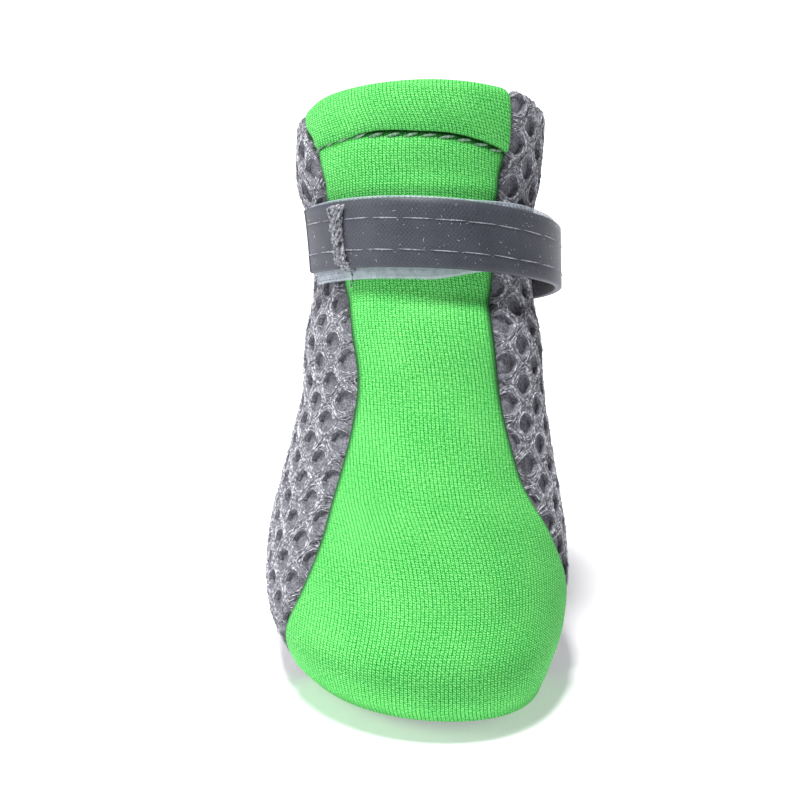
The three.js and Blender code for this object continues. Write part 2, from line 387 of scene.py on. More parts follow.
@dataclass(frozen=True)
class FlatCloth:
    """Cloth coordinates of the skin: u mm round the boot from the front, and v mm up the leg.

    Each side has its own piece of cloth, and the two meet in a seam down the back.
    """

    surface: BootSurface
    lean: float = 25.0  # degrees the leg leans back
    heights: int = 150
    turns: int = 150
    before_front: float = -0.1  # radians where each side's table starts
    past_back: float = 0.6  # radians it runs on past the back
    straight_at: float = 1.2  # radians from the front, where the cloth's columns run straight up
    low: float = -0.45
    high: float = 12.0
    passes: int = 14
    height_step: float = 0.05
    turn_step: float = 0.03
    height_most: float = 0.6  # the furthest one pass moves a point
    turn_most: float = 0.4
    least_spread: float = 1e-3

    def tables(self, side: int) -> tuple[Array, Array, Array]:
        """Lays one side's cloth flat.

        Args:
            side: 1 for the side towards +X, -1 for the other.

        Returns:
            Heights, turns from the front in radians, and u and v at each crossing of the two.
        """
        s = np.linspace(self.low, self.high, self.heights)
        turn = np.linspace(self.before_front, math.pi + self.past_back, self.turns)
        rows, columns = np.meshgrid(np.clip(s, 0.0, self.surface.fold_at), side * turn, indexing="ij")
        points = self.surface.outside(rows, columns)
        lean = math.radians(self.lean)
        up_leg = np.array([0.0, math.sin(lean), math.cos(lean)])
        v = points @ up_leg + (s - rows[:, 0])[:, None] * self.surface.run
        u = run_along(points - (points @ up_leg)[..., None] * up_leg, axis=1)
        straight = np.array([np.interp(self.straight_at, turn, row) for row in u])
        return s, turn, np.stack([u - straight[:, None] + straight.mean(), v])

    def find(self, u: Array, v: Array, side: Array) -> tuple[Array, Array]:
        """Where on the boot points of the flat cloth lie.

        Args:
            u: mm round the boot, positive towards +X.
            v: mm up the leg.
            side: 1 or -1, the piece of cloth that each point is on.

        Returns:
            Heights in sections and angles in radians, which may run past the back.
        """
        s, angle = np.zeros(len(u)), np.zeros(len(u))
        for which in (1, -1):
            chosen = side == which
            s[chosen], turn = self.find_on(which, np.stack([which * u[chosen], v[chosen]]))
            angle[chosen] = turn if which == 1 else 2 * math.pi - turn
        return s, angle

    def find_on(self, side: int, wanted: Array) -> tuple[Array, Array]:
        """Finds points on one side, with u and the turns counted away from the front.

        Args:
            side: 1 or -1.
            wanted: the points' u and v.

        Returns:
            Heights in sections and turns in radians.
        """
        s, turn, cloth = self.tables(side)
        coarse = cloth[:, ::6, ::8].reshape(2, -1)
        rows, columns = (t[::6, ::8].ravel() for t in np.meshgrid(s, turn, indexing="ij"))
        nearest = [np.argmin((coarse[0] - u) ** 2 + (coarse[1] - v) ** 2) for u, v in wanted.T]
        at_s, at_turn = rows[nearest], columns[nearest]
        up, on = self.height_step, self.turn_step
        for _ in range(self.passes):
            here, above, below, further, nearer = (
                read_table(cloth, s, turn, at_s + climb, at_turn + swing)
                for climb, swing in ((0, 0), (up, 0), (-up, 0), (0, on), (0, -on))
            )
            miss_u, miss_v = wanted - here
            (u_s, v_s), (u_a, v_a) = (above - below) / (2 * up), (further - nearer) / (2 * on)
            spread = u_s * v_a - u_a * v_s
            spread = np.where(np.abs(spread) < self.least_spread, -self.least_spread, spread)
            climb = np.clip((miss_u * v_a - u_a * miss_v) / spread, -self.height_most, self.height_most)
            swing = np.clip((u_s * miss_v - miss_u * v_s) / spread, -self.turn_most, self.turn_most)
            at_s = np.clip(at_s + climb, self.low, self.high)
            at_turn = np.clip(at_turn + swing, self.before_front, math.pi + self.past_back)
        return at_s, at_turn


# ------ meshes
def grid_faces(rows: int, columns: int, round_it: bool = False, start: int = 0) -> list[Face]:
    """Quads over a grid of points that runs row by row.

    Args:
        rows: how many rows.
        columns: how many points in each.
        round_it: True where the columns join round.
        start: the first point's number.

    Returns:
        The faces.
    """
    spans = columns if round_it else columns - 1
    return [
        (
            start + i * columns + j,
            start + i * columns + (j + 1) % columns,
            start + (i + 1) * columns + (j + 1) % columns,
            start + (i + 1) * columns + j,
        )
        for i in range(rows - 1)
        for j in range(spans)
    ]


def shell(outer: Array, inner: Array, round_it: bool = False) -> tuple[Array, list[Face]]:
    """A closed shell between an outer and an inner grid of the same size.

    Args:
        outer: points, rows by columns by 3, facing out.
        inner: the points behind them.
        round_it: True where the columns join round.

    Returns:
        The points in one list, and the faces.
    """
    rows, columns = outer.shape[:2]
    behind = rows * columns
    faces = grid_faces(rows, columns, round_it)
    faces += [tuple(reversed(face)) for face in grid_faces(rows, columns, round_it, behind)]
    spans = columns if round_it else columns - 1
    for j in range(spans):
        k = (j + 1) % columns
        last = (rows - 1) * columns
        faces.append((k, j, behind + j, behind + k))
        faces.append((last + j, last + k, behind + last + k, behind + last + j))
    if not round_it:
        for i in range(rows - 1):
            a, b = i * columns, (i + 1) * columns
            faces.append((a, b, behind + b, behind + a))
            a, b = a + columns - 1, b + columns - 1
            faces.append((b, a, behind + a, behind + b))
    return np.concatenate([outer.reshape(-1, 3), inner.reshape(-1, 3)]), faces


def tube(path: Array, radius: Array | float, sides: int) -> tuple[Array, list[Face]]:
    """A round tube along a path, capped at both ends.

    Args:
        path: the middle line's points.
        radius: one radius, or one for each point.
        sides: how many sides the tube has.

    Returns:
        The points and faces.
    """
    count = len(path)
    tangent = unit(np.gradient(path, axis=0))
    across = np.zeros_like(path)
    any_direction = [0.31, 0.42, 0.86]
    across[0] = unit(np.cross(tangent[0], any_direction))
    for i in range(1, count):
        across[i] = unit(across[i - 1] - tangent[i] * np.dot(across[i - 1], tangent[i]))
    beside = np.cross(tangent, across)
    turn = np.arange(sides) * 2 * math.pi / sides
    rim = across[:, None] * np.cos(turn)[:, None] + beside[:, None] * np.sin(turn)[:, None]
    width = np.broadcast_to(np.asarray(radius, float), (count,))[:, None, None]
    points = (path[:, None] + rim * width).reshape(-1, 3)
    faces = grid_faces(count, sides, True)
    faces.append(tuple(range(sides - 1, -1, -1)))
    faces.append(tuple(range((count - 1) * sides, count * sides)))
    return points, faces


def make_piece(
    name: str,
    points: Array,
    faces: list[Face],
    materials: list[Material],
    cloth: Array | None = None,
    kinds: list[int] | None = None,
    seam_shade: Array | None = None,
) -> Object:
    """Makes one mesh object at the origin.

    Args:
        name: the piece's name.
        points: its points in mm.
        faces: its faces, pointing out.
        materials: its materials, the first for faces with no kind.
        cloth: each point's place on the flat cloth in mm, kept as the UV map "cloth".
        kinds: each face's material index.
        seam_shade: how much painted shade each point gets where cloth turns into seams and under the hem,
            from 0 to 1, kept as an attribute of the same name.

    Returns:
        The new object.
    """
    mesh = bpy.data.meshes.new(name)
    mesh.from_pydata((np.asarray(points) * MM).tolist(), [], faces)
    mesh.polygons.foreach_set("use_smooth", [True] * len(mesh.polygons))
    for material in materials:
        mesh.materials.append(material)
    if kinds is not None:
        mesh.polygons.foreach_set("material_index", kinds)
    if cloth is not None:
        corners = np.zeros(len(mesh.loops), int)
        mesh.loops.foreach_get("vertex_index", corners)
        layer = mesh.uv_layers.new(name="cloth")
        layer.data.foreach_set("uv", np.asarray(cloth)[corners].ravel())
    if seam_shade is not None:
        painted_seam_shade = mesh.attributes.new("seam_shade", "FLOAT", "POINT")
        painted_seam_shade.data.foreach_set("value", np.asarray(seam_shade).ravel())
    mesh.update()
    piece = bpy.data.objects.new(name, mesh)
    bpy.context.scene.collection.objects.link(piece)
    return piece


def declare(piece: Object, slot: Slot, *nodes: str) -> None:
    """Rides a piece on the boot's one body and reports it.

    Args:
        piece: the piece.
        slot: the record's material slot; not used.
        *nodes: the CAD nodes it stands for.
    """
    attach(piece, "root")
    if nodes:
        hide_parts(*nodes)
    LOG.info("%s: %d faces", piece.name, len(piece.data.polygons))


# ------ node trees
class Graph:
    """A node tree as it is written, one node a call."""

    def __init__(self, tree: bpy.types.NodeTree) -> None:
        """Starts on a tree."""
        self.tree = tree

    def add(self, kind: str, inputs: dict | None = None, stops: tuple = (), **settings: object) -> Node:
        """Adds a node.

        Args:
            kind: the node's type.
            inputs: values, nodes or sockets for its inputs, by name or number.
            stops: a colour ramp's pairs of place and sRGB colour.
            **settings: the node's properties.

        Returns:
            The node.
        """
        node = self.tree.nodes.new(kind)
        for _ in stops[2:]:
            node.color_ramp.elements.new(0.5)
        for number, (position, code) in enumerate(stops):
            node.color_ramp.elements[number].position = position
            node.color_ramp.elements[number].color = srgb(code)
        for key, value in settings.items():
            setattr(node, key, value)
        for key, value in (inputs or {}).items():
            self.give(node, key, value)
        return node

    def give(self, node: Node, key: str | int, value: object) -> None:
        """Sets or links one input of a node.

        Args:
            node: the node.
            key: the input's name or number.
            value: a value, a socket, or a node whose first output is meant.
        """
        if isinstance(key, int):
            socket = node.inputs[key]
        else:
            socket = next(i for i in node.inputs if i.name == key and i.enabled)
        if isinstance(value, Node):
            value = next(o for o in value.outputs if o.enabled)
        if isinstance(value, bpy.types.NodeSocket):
            self.tree.links.new(value, socket)
        else:
            socket.default_value = value


def srgb(code: str) -> tuple[float, float, float, float]:
    """Turns an sRGB colour to a linear one.

    Args:
        code: the colour as "#RRGGBB".

    Returns:
        Red, green, blue and alpha.
    """
    parts = [int(code[i : i + 2], 16) / 255 for i in (1, 3, 5)]
    linear = [p / 12.92 if p <= 0.04045 else ((p + 0.055) / 1.055) ** 2.4 for p in parts]
    return (*linear, 1.0)


def new_material(name: str, settings: dict[str, object]) -> tuple[Material, Graph, Node]:
    """A material with its shader's own sockets set.

    Args:
        name: the finish's name.
        settings: the shader's uniform values.

    Returns:
        The material, its graph and its shader node.
    """
    material = bpy.data.materials.new(name)
    material.use_nodes = True
    graph = Graph(material.node_tree)
    shader = material.node_tree.nodes["Principled BSDF"]
    for key, value in settings.items():
        graph.give(shader, key, value)
    return material, graph, shader


# ------ finishes
@dataclass(frozen=True)
class Grained:
    """A finish whose colour and bump both follow one grain: fibres, pile, twist or specks."""

    name: str
    dark: str
    light: str
    roughness: float = 0.5
    specular: float = 0.5
    sheen: float = 0.0
    on_cloth: bool = False  # True where the grain lies on the flat cloth
    scale: float = 2000.0  # grains to a metre, or to a mm of flat cloth
    detail: float = 2.0
    distortion: float = 0.0
    low: float = 0.35  # the grain where the colour is darkest
    high: float = 0.7  # the grain where it is lightest
    bump: float = 0.0
    bump_height: float = 0.0001  # metres

    def shader_values(self) -> dict[str, object]:
        """The shader's uniform values."""
        return {"Roughness": self.roughness, "Specular IOR Level": self.specular, "Sheen Weight": self.sheen}

    def material(self) -> Material:
        """Builds the finish.

        Returns:
            The material.
        """
        material, graph, shader = new_material(self.name, self.shader_values())
        if self.on_cloth:
            where = graph.add("ShaderNodeUVMap", uv_map="cloth")
        else:
            where = graph.add("ShaderNodeTexCoord").outputs["Object"]
        noise = {"Vector": where, "Scale": self.scale, "Detail": self.detail, "Distortion": self.distortion}
        grain = graph.add("ShaderNodeTexNoise", noise)
        stops = ((self.low, self.dark), (self.high, self.light))
        graph.give(shader, "Base Color", graph.add("ShaderNodeValToRGB", {"Fac": grain}, stops=stops))
        if self.bump:
            rise = {"Height": grain, "Strength": self.bump, "Distance": self.bump_height}
            graph.give(shader, "Normal", graph.add("ShaderNodeBump", rise))
        return material


@dataclass(frozen=True)
class MeshGround(Grained):
    """Warp-knitted polyester between the bright yarns: dull mid grey, with filaments about 0.3 mm apart."""

    name: str = "warp-knit polyester ground"
    dark: str = "#66666E"
    light: str = "#9A9AA4"
    roughness: float = 0.7
    specular: float = 0.3
    sheen: float = 0.2
    scale: float = 2600.0
    detail: float = 3.0
    distortion: float = 0.8
    bump: float = 0.7
    bump_height: float = 0.00012


@dataclass(frozen=True)
class FilamentYarn(Grained):
    """Bright multifilament polyester: silvery strands that catch the light in dashes 0.4 mm long."""

    name: str = "bright polyester filament"
    dark: str = "#7E7E88"
    light: str = "#F4F4FA"
    roughness: float = 0.38
    specular: float = 0.6
    sheen: float = 0.15
    scale: float = 2300.0
    low: float = 0.44
    high: float = 0.66


@dataclass(frozen=True)
class SpacerBacking(Grained):
    """The spacer fabric's back and its holes' walls: mid grey, with pile yarns 0.3 mm apart as a fuzz."""

    name: str = "spacer fabric backing"
    dark: str = "#595960"
    light: str = "#9C9CA6"
    roughness: float = 0.85
    specular: float = 0.2
    sheen: float = 0.3
    scale: float = 3200.0
    detail: float = 4.0
    distortion: float = 1.5
    low: float = 0.42
    high: float = 0.66
    bump: float = 0.5


@dataclass(frozen=True)
class LoopPile(Grained):
    """The strap's brushed loop side: charcoal pile with lighter loop tips 0.4 mm apart."""

    name: str = "brushed loop pile"
    dark: str = "#3C3C42"
    light: str = "#74747E"
    roughness: float = 0.9
    specular: float = 0.2
    sheen: float = 0.5
    on_cloth: bool = True
    scale: float = 2.6
    detail: float = 4.0
    distortion: float = 1.2
    high: float = 0.75
    bump: float = 0.8
    bump_height: float = 0.0002


@dataclass(frozen=True)
class HookPlastic(Grained):
    """Moulded nylon hook tape: milky and half clear, so that what lies behind tints it."""

    name: str = "moulded nylon hook tape"
    dark: str = "#B6C4CE"
    light: str = "#DCE2EE"
    roughness: float = 0.35
    ior: float = 1.53
    opacity: float = 0.52
    scale: float = 900.0
    low: float = 0.3

    def shader_values(self) -> dict[str, object]:
        """The shader's uniform values."""
        return {"Roughness": self.roughness, "IOR": self.ior, "Alpha": self.opacity}


@dataclass(frozen=True)
class SewingThread(Grained):
    """Bonded polyester thread: plies 0.4 mm apart, dull in the dips and light on the crowns."""

    roughness: float = 0.55
    specular: float = 0.4
    scale: float = 2500.0
    distortion: float = 0.6
    high: float = 0.65
    bump: float = 0.5


@dataclass(frozen=True)
class InsoleFelt(Grained):
    """Needled felt: a soft mid grey with fibres matted in tufts of 0.7 mm."""

    name: str = "needled felt"
    dark: str = "#5C5C61"
    light: str = "#8A8A90"
    roughness: float = 0.95
    specular: float = 0.1
    sheen: float = 0.4
    scale: float = 1500.0
    detail: float = 4.0
    distortion: float = 2.0
    bump: float = 0.6


@dataclass(frozen=True)
class OpalAcrylic(Grained):
    """Opal acrylic lit from behind: a plain, matt, nearly white floor whose glow keeps shadows faint."""

    name: str = "backlit opal acrylic"
    dark: str = "#F4F4F6"
    light: str = "#F8F8FA"
    roughness: float = 0.95
    specular: float = 0.1
    glow: float = 0.38
    scale: float = 40.0
    detail: float = 3.0
    low: float = 0.3

    def shader_values(self) -> dict[str, object]:
        """The shader's uniform values, with the light that comes through it."""
        return super().shader_values() | {"Emission Color": srgb(self.light), "Emission Strength": self.glow}


@dataclass(frozen=True)
class MouldedRubber:
    """Moulded black rubber: matt charcoal, dusty in places, with a 0.5 mm stipple from the mould."""

    name: str = "moulded rubber"
    dark: str = "#1F2022"
    light: str = "#34353A"

    def material(self) -> Material:
        """Builds the finish.

        Returns:
            The material.
        """
        material, graph, shader = new_material(self.name, {"Roughness": 0.68, "Specular IOR Level": 0.45})
        where = graph.add("ShaderNodeTexCoord").outputs["Object"]
        stipple = graph.add("ShaderNodeTexNoise", {"Vector": where, "Scale": 2200.0, "Detail": 2.0})
        dust = graph.add("ShaderNodeTexNoise", {"Vector": where, "Scale": 160.0, "Detail": 4.0})
        stops = ((0.35, self.dark), (0.7, self.light))
        graph.give(shader, "Base Color", graph.add("ShaderNodeValToRGB", {"Fac": dust}, stops=stops))
        bump = graph.add("ShaderNodeBump", {"Height": stipple, "Strength": 0.35, "Distance": 0.00008})
        graph.give(shader, "Normal", bump)
        return material


@dataclass(frozen=True)
class TricotLining:
    """Brushed tricot: a soft, plain grey with a fine rib."""

    name: str = "brushed tricot lining"
    dark: str = "#6E6E74"
    light: str = "#8D8D94"
    rib: float = 0.5  # mm between ribs

    def material(self) -> Material:
        """Builds the finish.

        Returns:
            The material.
        """
        material, graph, shader = new_material(
            self.name, {"Roughness": 0.9, "Specular IOR Level": 0.15, "Sheen Weight": 0.4}
        )
        cloth = graph.add("ShaderNodeUVMap", uv_map="cloth")
        place = graph.add("ShaderNodeSeparateXYZ", {0: cloth})
        across = graph.add("ShaderNodeMath", {0: place.outputs["X"], 1: self.rib}, operation="DIVIDE")
        ribs = graph.add("ShaderNodeMath", {0: across, 1: 0.5}, operation="PINGPONG")
        nap = graph.add("ShaderNodeTexNoise", {"Vector": cloth, "Scale": 3.0, "Detail": 3.0})
        height = graph.add("ShaderNodeMath", {0: ribs, 1: nap}, operation="ADD")
        shade = graph.add("ShaderNodeMapRange", {"Value": height, "From Min": 0.4, "From Max": 1.1})
        stops = ((0.0, self.dark), (1.0, self.light))
        graph.give(shader, "Base Color", graph.add("ShaderNodeValToRGB", {"Fac": shade}, stops=stops))
        bump = graph.add("ShaderNodeBump", {"Height": height, "Strength": 0.4, "Distance": 0.0001})
        graph.give(shader, "Normal", bump)
        return material


@dataclass(frozen=True)
class KnitNeoprene:
    """Nylon jersey bonded to neoprene foam: a fine grid of bright green loops, with painted shade in the
    valleys and painted highlight on the crests, and a soft sheen.
    """

    name: str = "nylon jersey on neoprene"
    # painted shade in the valleys, the knit's own green, and painted highlight on the crests
    valley_shade: str = "#0A5E22"
    body: str = "#3DBC4F"
    crest_highlight: str = "#92F38A"
    # the painted shade where the panel's edges turn into their seams and under the hem
    seam_shade: str = "#1A5526"
    wale: float = 0.55  # mm from one column of loops to the next
    course: float = 0.36  # mm from one row of loops to the next
    wander: float = 0.08  # mm the rows and columns stray
    lean: float = 0.55  # courses that a row climbs across its column
    rib_fullness: float = 0.32  # the power that rounds a column: lower is fuller
    leg_fullness: float = 0.4
    leg_share: float = 0.45  # how much of the columns' height is the loops' two legs
    loop_share: float = 0.7
    speckle: float = 0.85
    patches: float = 0.14
    darkest: float = 0.87
    brightest: float = 1.53

    def height(self, graph: Graph, cloth: Node) -> Node:
        """Adds the knit's relief.

        Args:
            graph: the material's graph.
            cloth: the flat cloth's coordinates.

        Returns:
            The node that gives the height.
        """
        wander = graph.add("ShaderNodeTexNoise", {"Vector": cloth, "Scale": 1.3, "Detail": 2.0})
        stray = (self.wander, self.wander, 0.0)
        shaken = graph.add(
            "ShaderNodeVectorMath", {0: wander.outputs["Color"], 1: stray, 2: cloth}, operation="MULTIPLY_ADD"
        )
        place = graph.add("ShaderNodeSeparateXYZ", {0: shaken})
        column = graph.add("ShaderNodeMath", {0: place.outputs["X"], 1: self.wale}, operation="DIVIDE")
        row = graph.add("ShaderNodeMath", {0: place.outputs["Y"], 1: self.course}, operation="DIVIDE")
        rib = graph.add("ShaderNodeMath", {0: column, 1: 0.5}, operation="PINGPONG")
        rib_full = graph.add("ShaderNodeMath", {0: rib, 1: self.rib_fullness}, operation="POWER")
        # each column is a chain of V-shaped loops, so two legs lie side by side in it
        doubled = graph.add("ShaderNodeMath", {0: column, 1: 2.0}, operation="MULTIPLY")
        leg = graph.add("ShaderNodeMath", {0: doubled, 1: 0.5}, operation="PINGPONG")
        leg_full = graph.add("ShaderNodeMath", {0: leg, 1: self.leg_fullness}, operation="POWER")
        legs = graph.add("ShaderNodeMix", {"Factor": self.leg_share, "A": rib_full, "B": leg_full})
        # the loops lean, so each row climbs a little across its column
        part_way = graph.add("ShaderNodeMath", {0: column}, operation="FRACT")
        slanted = graph.add("ShaderNodeMath", {0: part_way, 1: self.lean, 2: row}, operation="MULTIPLY_ADD")
        loop = graph.add("ShaderNodeMath", {0: slanted, 1: 0.5}, operation="PINGPONG")
        return graph.add("ShaderNodeMath", {0: loop, 1: self.loop_share, 2: legs}, operation="MULTIPLY_ADD")

    def material(self) -> Material:
        """Builds the finish.

        Returns:
            The material.
        """
        sheen = {"Sheen Weight": 0.03, "Sheen Roughness": 0.5}
        material, graph, shader = new_material(
            self.name, {"Roughness": 0.72, "Specular IOR Level": 0.12, **sheen}
        )
        cloth = graph.add("ShaderNodeUVMap", uv_map="cloth")
        height = self.height(graph, cloth)
        speckle = graph.add("ShaderNodeTexNoise", {"Vector": cloth, "Scale": 3.1, "Detail": 3.0})
        patch = graph.add("ShaderNodeTexNoise", {"Vector": cloth, "Scale": 0.12, "Detail": 1.0})
        lit = graph.add("ShaderNodeMath", {0: speckle, 1: self.speckle, 2: height}, operation="MULTIPLY_ADD")
        toned = graph.add("ShaderNodeMath", {0: patch, 1: self.patches, 2: lit}, operation="MULTIPLY_ADD")
        shade = graph.add(
            "ShaderNodeMapRange", {"Value": toned, "From Min": self.darkest, "From Max": self.brightest}
        )
        # the relief's height darkens the valleys and lightens the crests: painted shade and painted highlight
        stops = ((0.0, self.valley_shade), (0.5, self.body), (1.0, self.crest_highlight))
        colour = graph.add("ShaderNodeValToRGB", {"Fac": shade}, stops=stops)
        # painted shade: the cloth is darkened where its edge turns into a seam's groove and under the hem
        painted_seam_shade = graph.add("ShaderNodeAttribute", attribute_name="seam_shade").outputs["Fac"]
        shaded = {"Factor": painted_seam_shade, "A": colour, "B": srgb(self.seam_shade)}
        graph.give(shader, "Base Color", graph.add("ShaderNodeMix", shaded, data_type="RGBA"))
        bump = graph.add("ShaderNodeBump", {"Height": height, "Strength": 0.55, "Distance": 0.00012})
        graph.give(shader, "Normal", bump)
        return material


@dataclass(frozen=True)
class ReflectiveTape:
    """Glass-bead reflective fabric: a satin blue-grey with a faint metallic lift and a fine grain."""

    name: str = "glass-bead reflective tape"
    dark: str = "#2F313A"
    light: str = "#555762"
    dust: str = "#A4A6B2"
    thread_pitch: float = 0.32  # mm
    dust_pitch: float = 1.15  # dusty cells to a mm, a speck in some of them
    speck: float = 0.085  # a speck's radius as a share of its cell
    bare: float = 0.45  # the share of cells with no speck

    def material(self) -> Material:
        """Builds the finish.

        Returns:
            The material.
        """
        sheen = {"Sheen Weight": 0.22, "Sheen Roughness": 0.4}
        material, graph, shader = new_material(
            self.name, {"Roughness": 0.5, "Metallic": 0.15, "Specular IOR Level": 0.4, **sheen}
        )
        cloth = graph.add("ShaderNodeUVMap", uv_map="cloth")
        # the beads are 0.05 mm wide, and their grain is drawn at 0.2 mm so that it shows
        beads = graph.add("ShaderNodeTexNoise", {"Vector": cloth, "Scale": 5.0, "Detail": 2.0})
        broad = graph.add("ShaderNodeTexNoise", {"Vector": cloth, "Scale": 0.25, "Detail": 3.0})
        faint = graph.add("ShaderNodeMath", {0: broad, 1: 0.35, 2: 0.33}, operation="MULTIPLY_ADD")
        checks = graph.add("ShaderNodeTexChecker", {"Vector": cloth, "Scale": 1.0 / self.thread_pitch})
        check = checks.outputs["Fac"]
        weave = graph.add("ShaderNodeMath", {0: check, 1: 0.1, 2: faint}, operation="MULTIPLY_ADD")
        tone = graph.add("ShaderNodeMath", {0: beads, 1: 0.6, 2: weave}, operation="MULTIPLY_ADD")
        shade = graph.add("ShaderNodeMapRange", {"Value": tone, "From Min": 0.6, "From Max": 1.05})
        stops = ((0.0, self.dark), (1.0, self.light))
        woven = graph.add("ShaderNodeValToRGB", {"Fac": shade}, stops=stops)
        cells = graph.add("ShaderNodeTexVoronoi", {"Vector": cloth, "Scale": self.dust_pitch})
        distance = cells.outputs["Distance"]
        near = graph.add("ShaderNodeMath", {0: distance, 1: self.speck}, operation="LESS_THAN")
        luck = graph.add("ShaderNodeSeparateColor", {0: cells.outputs["Color"]}).outputs["Red"]
        chosen = graph.add("ShaderNodeMath", {0: luck, 1: self.bare}, operation="GREATER_THAN")
        dust = graph.add("ShaderNodeMath", {0: near, 1: chosen}, operation="MULTIPLY")
        dusted = {"Factor": dust, "A": woven, "B": srgb(self.dust)}
        graph.give(shader, "Base Color", graph.add("ShaderNodeMix", dusted, data_type="RGBA"))
        bump = graph.add("ShaderNodeBump", {"Height": beads, "Strength": 0.15, "Distance": 0.00005})
        graph.give(shader, "Normal", bump)
        return material


# ------ repeated shapes
def plain_result(
    name: str, start: bpy.types.Mesh, tree: bpy.types.NodeTree, values: dict[str, object]
) -> Object:
    """Runs a node tree on a mesh and keeps what it makes as a plain mesh.

    Args:
        name: the new piece's name.
        start: the mesh that the tree works on.
        tree: the tree.
        values: its inputs' values by their sockets' identifiers.

    Returns:
        The piece.
    """
    carrier = bpy.data.objects.new(f"{name} carrier", start)
    bpy.context.scene.collection.objects.link(carrier)
    modifier = carrier.modifiers.new("made by nodes", "NODES")
    modifier.node_group = tree
    for identifier, value in values.items():
        modifier[identifier] = value
    carrier.update_tag()
    graph = bpy.context.evaluated_depsgraph_get()
    mesh = bpy.data.meshes.new_from_object(carrier.evaluated_get(graph), depsgraph=graph)
    mesh.name = name
    mesh.polygons.foreach_set("use_smooth", [True] * len(mesh.polygons))
    bpy.data.objects.remove(carrier)
    piece = bpy.data.objects.new(name, mesh)
    bpy.context.scene.collection.objects.link(piece)
    return piece


@dataclass(frozen=True)
class Places:
    """Where a repeated shape goes: its X axis along the path, its Z axis out of the surface."""

    points: Array
    along: Array
    out: Array
    size: Array | None = None


def start_tree(name: str, wanted: dict[str, tuple[str, object]]) -> tuple[Graph, Node, dict[str, object]]:
    """Starts a Geometry Nodes tree that takes and gives a mesh.

    Args:
        name: the tree's name.
        wanted: its other inputs' socket types and values, by the inputs' names.

    Returns:
        The tree's graph, its input node, and the inputs' values by their sockets' identifiers.
    """
    tree = bpy.data.node_groups.new(name, "GeometryNodeTree")
    tree.interface.new_socket(name="Geometry", in_out="INPUT", socket_type="NodeSocketGeometry")
    values = {}
    for label, (kind, value) in wanted.items():
        socket = tree.interface.new_socket(name=label, in_out="INPUT", socket_type=kind)
        values[socket.identifier] = value
    tree.interface.new_socket(name="Geometry", in_out="OUTPUT", socket_type="NodeSocketGeometry")
    graph = Graph(tree)
    return graph, graph.add("NodeGroupInput"), values


def end_tree(graph: Graph, given: Node, made: Node) -> None:
    """Makes a tree's copies real and gives them their finish.

    Args:
        graph: the tree's graph.
        given: its input node, with an input named "Finish".
        made: the node that makes the shape.
    """
    real = graph.add("GeometryNodeRealizeInstances", {"Geometry": made})
    finish = {"Geometry": real, "Material": given.outputs["Finish"]}
    dressed = graph.add("GeometryNodeSetMaterial", finish)
    graph.add("NodeGroupOutput", {"Geometry": dressed})


@dataclass(frozen=True)
class Repeat:
    """Repeats a small shape on points by Geometry Nodes and turns the copies into one plain mesh."""

    name: str
    shape: tuple[Array, list[Face]]
    material: Material
    seed: int
    size_spread: float = 0.0  # share by which a copy's size may differ
    turn_spread: float = 0.0  # radians by which a copy may turn on its point

    def make(self, places: Places) -> Object:
        """Makes the repeated piece.

        Args:
            places: the copies' places.

        Returns:
            The piece, one plain mesh.
        """
        template = make_piece(f"{self.name}_shape", *self.shape, [])
        wanted = {
            "Shape": ("NodeSocketObject", template),
            "Finish": ("NodeSocketMaterial", self.material),
            "Least Size": ("NodeSocketFloat", 1.0 - self.size_spread),
            "Most Size": ("NodeSocketFloat", 1.0 + self.size_spread),
            "Least Turn": ("NodeSocketFloat", -self.turn_spread),
            "Most Turn": ("NodeSocketFloat", self.turn_spread),
            "Seed": ("NodeSocketInt", self.seed),
        }
        graph, given, values = start_tree(self.name, wanted)
        source = given.outputs
        along, out, size = (
            graph.add("GeometryNodeInputNamedAttribute", {"Name": name}, data_type="FLOAT_VECTOR")
            for name in ("along", "out", "size")
        )
        axes = {"Primary Axis": out, "Secondary Axis": along}
        faced = graph.add("FunctionNodeAxesToRotation", axes, primary_axis="Z", secondary_axis="X")
        turns, sizes = (
            {"Min": source[f"Least {what}"], "Max": source[f"Most {what}"], "Seed": source["Seed"]}
            for what in ("Turn", "Size")
        )
        swivel = graph.add("FunctionNodeRandomValue", turns, data_type="FLOAT")
        about = graph.add("ShaderNodeCombineXYZ", {"Z": swivel})
        swivelled = {"Rotation": faced, "Rotate By": about}
        turned = graph.add("FunctionNodeRotateRotation", swivelled, rotation_space="LOCAL")
        factor = graph.add("FunctionNodeRandomValue", sizes, data_type="FLOAT")
        scaled = graph.add("ShaderNodeVectorMath", {0: size, "Scale": factor}, operation="SCALE")
        info = graph.add("GeometryNodeObjectInfo", {"Object": source["Shape"], "As Instance": True})
        shape = info.outputs["Geometry"]
        copies = graph.add(
            "GeometryNodeInstanceOnPoints",
            {"Points": source["Geometry"], "Instance": shape, "Rotation": turned, "Scale": scaled},
        )
        end_tree(graph, given, copies)
        seeds = bpy.data.meshes.new(f"{self.name} points")
        seeds.from_pydata((places.points * MM).tolist(), [], [])
        size_of = np.ones_like(places.points) if places.size is None else places.size
        for name, vectors in (("along", places.along), ("out", places.out), ("size", size_of)):
            seeds.attributes.new(name, "FLOAT_VECTOR", "POINT").data.foreach_set("vector", vectors.ravel())
        piece = plain_result(self.name, seeds, graph.tree, values)
        bpy.data.objects.remove(template)
        return piece


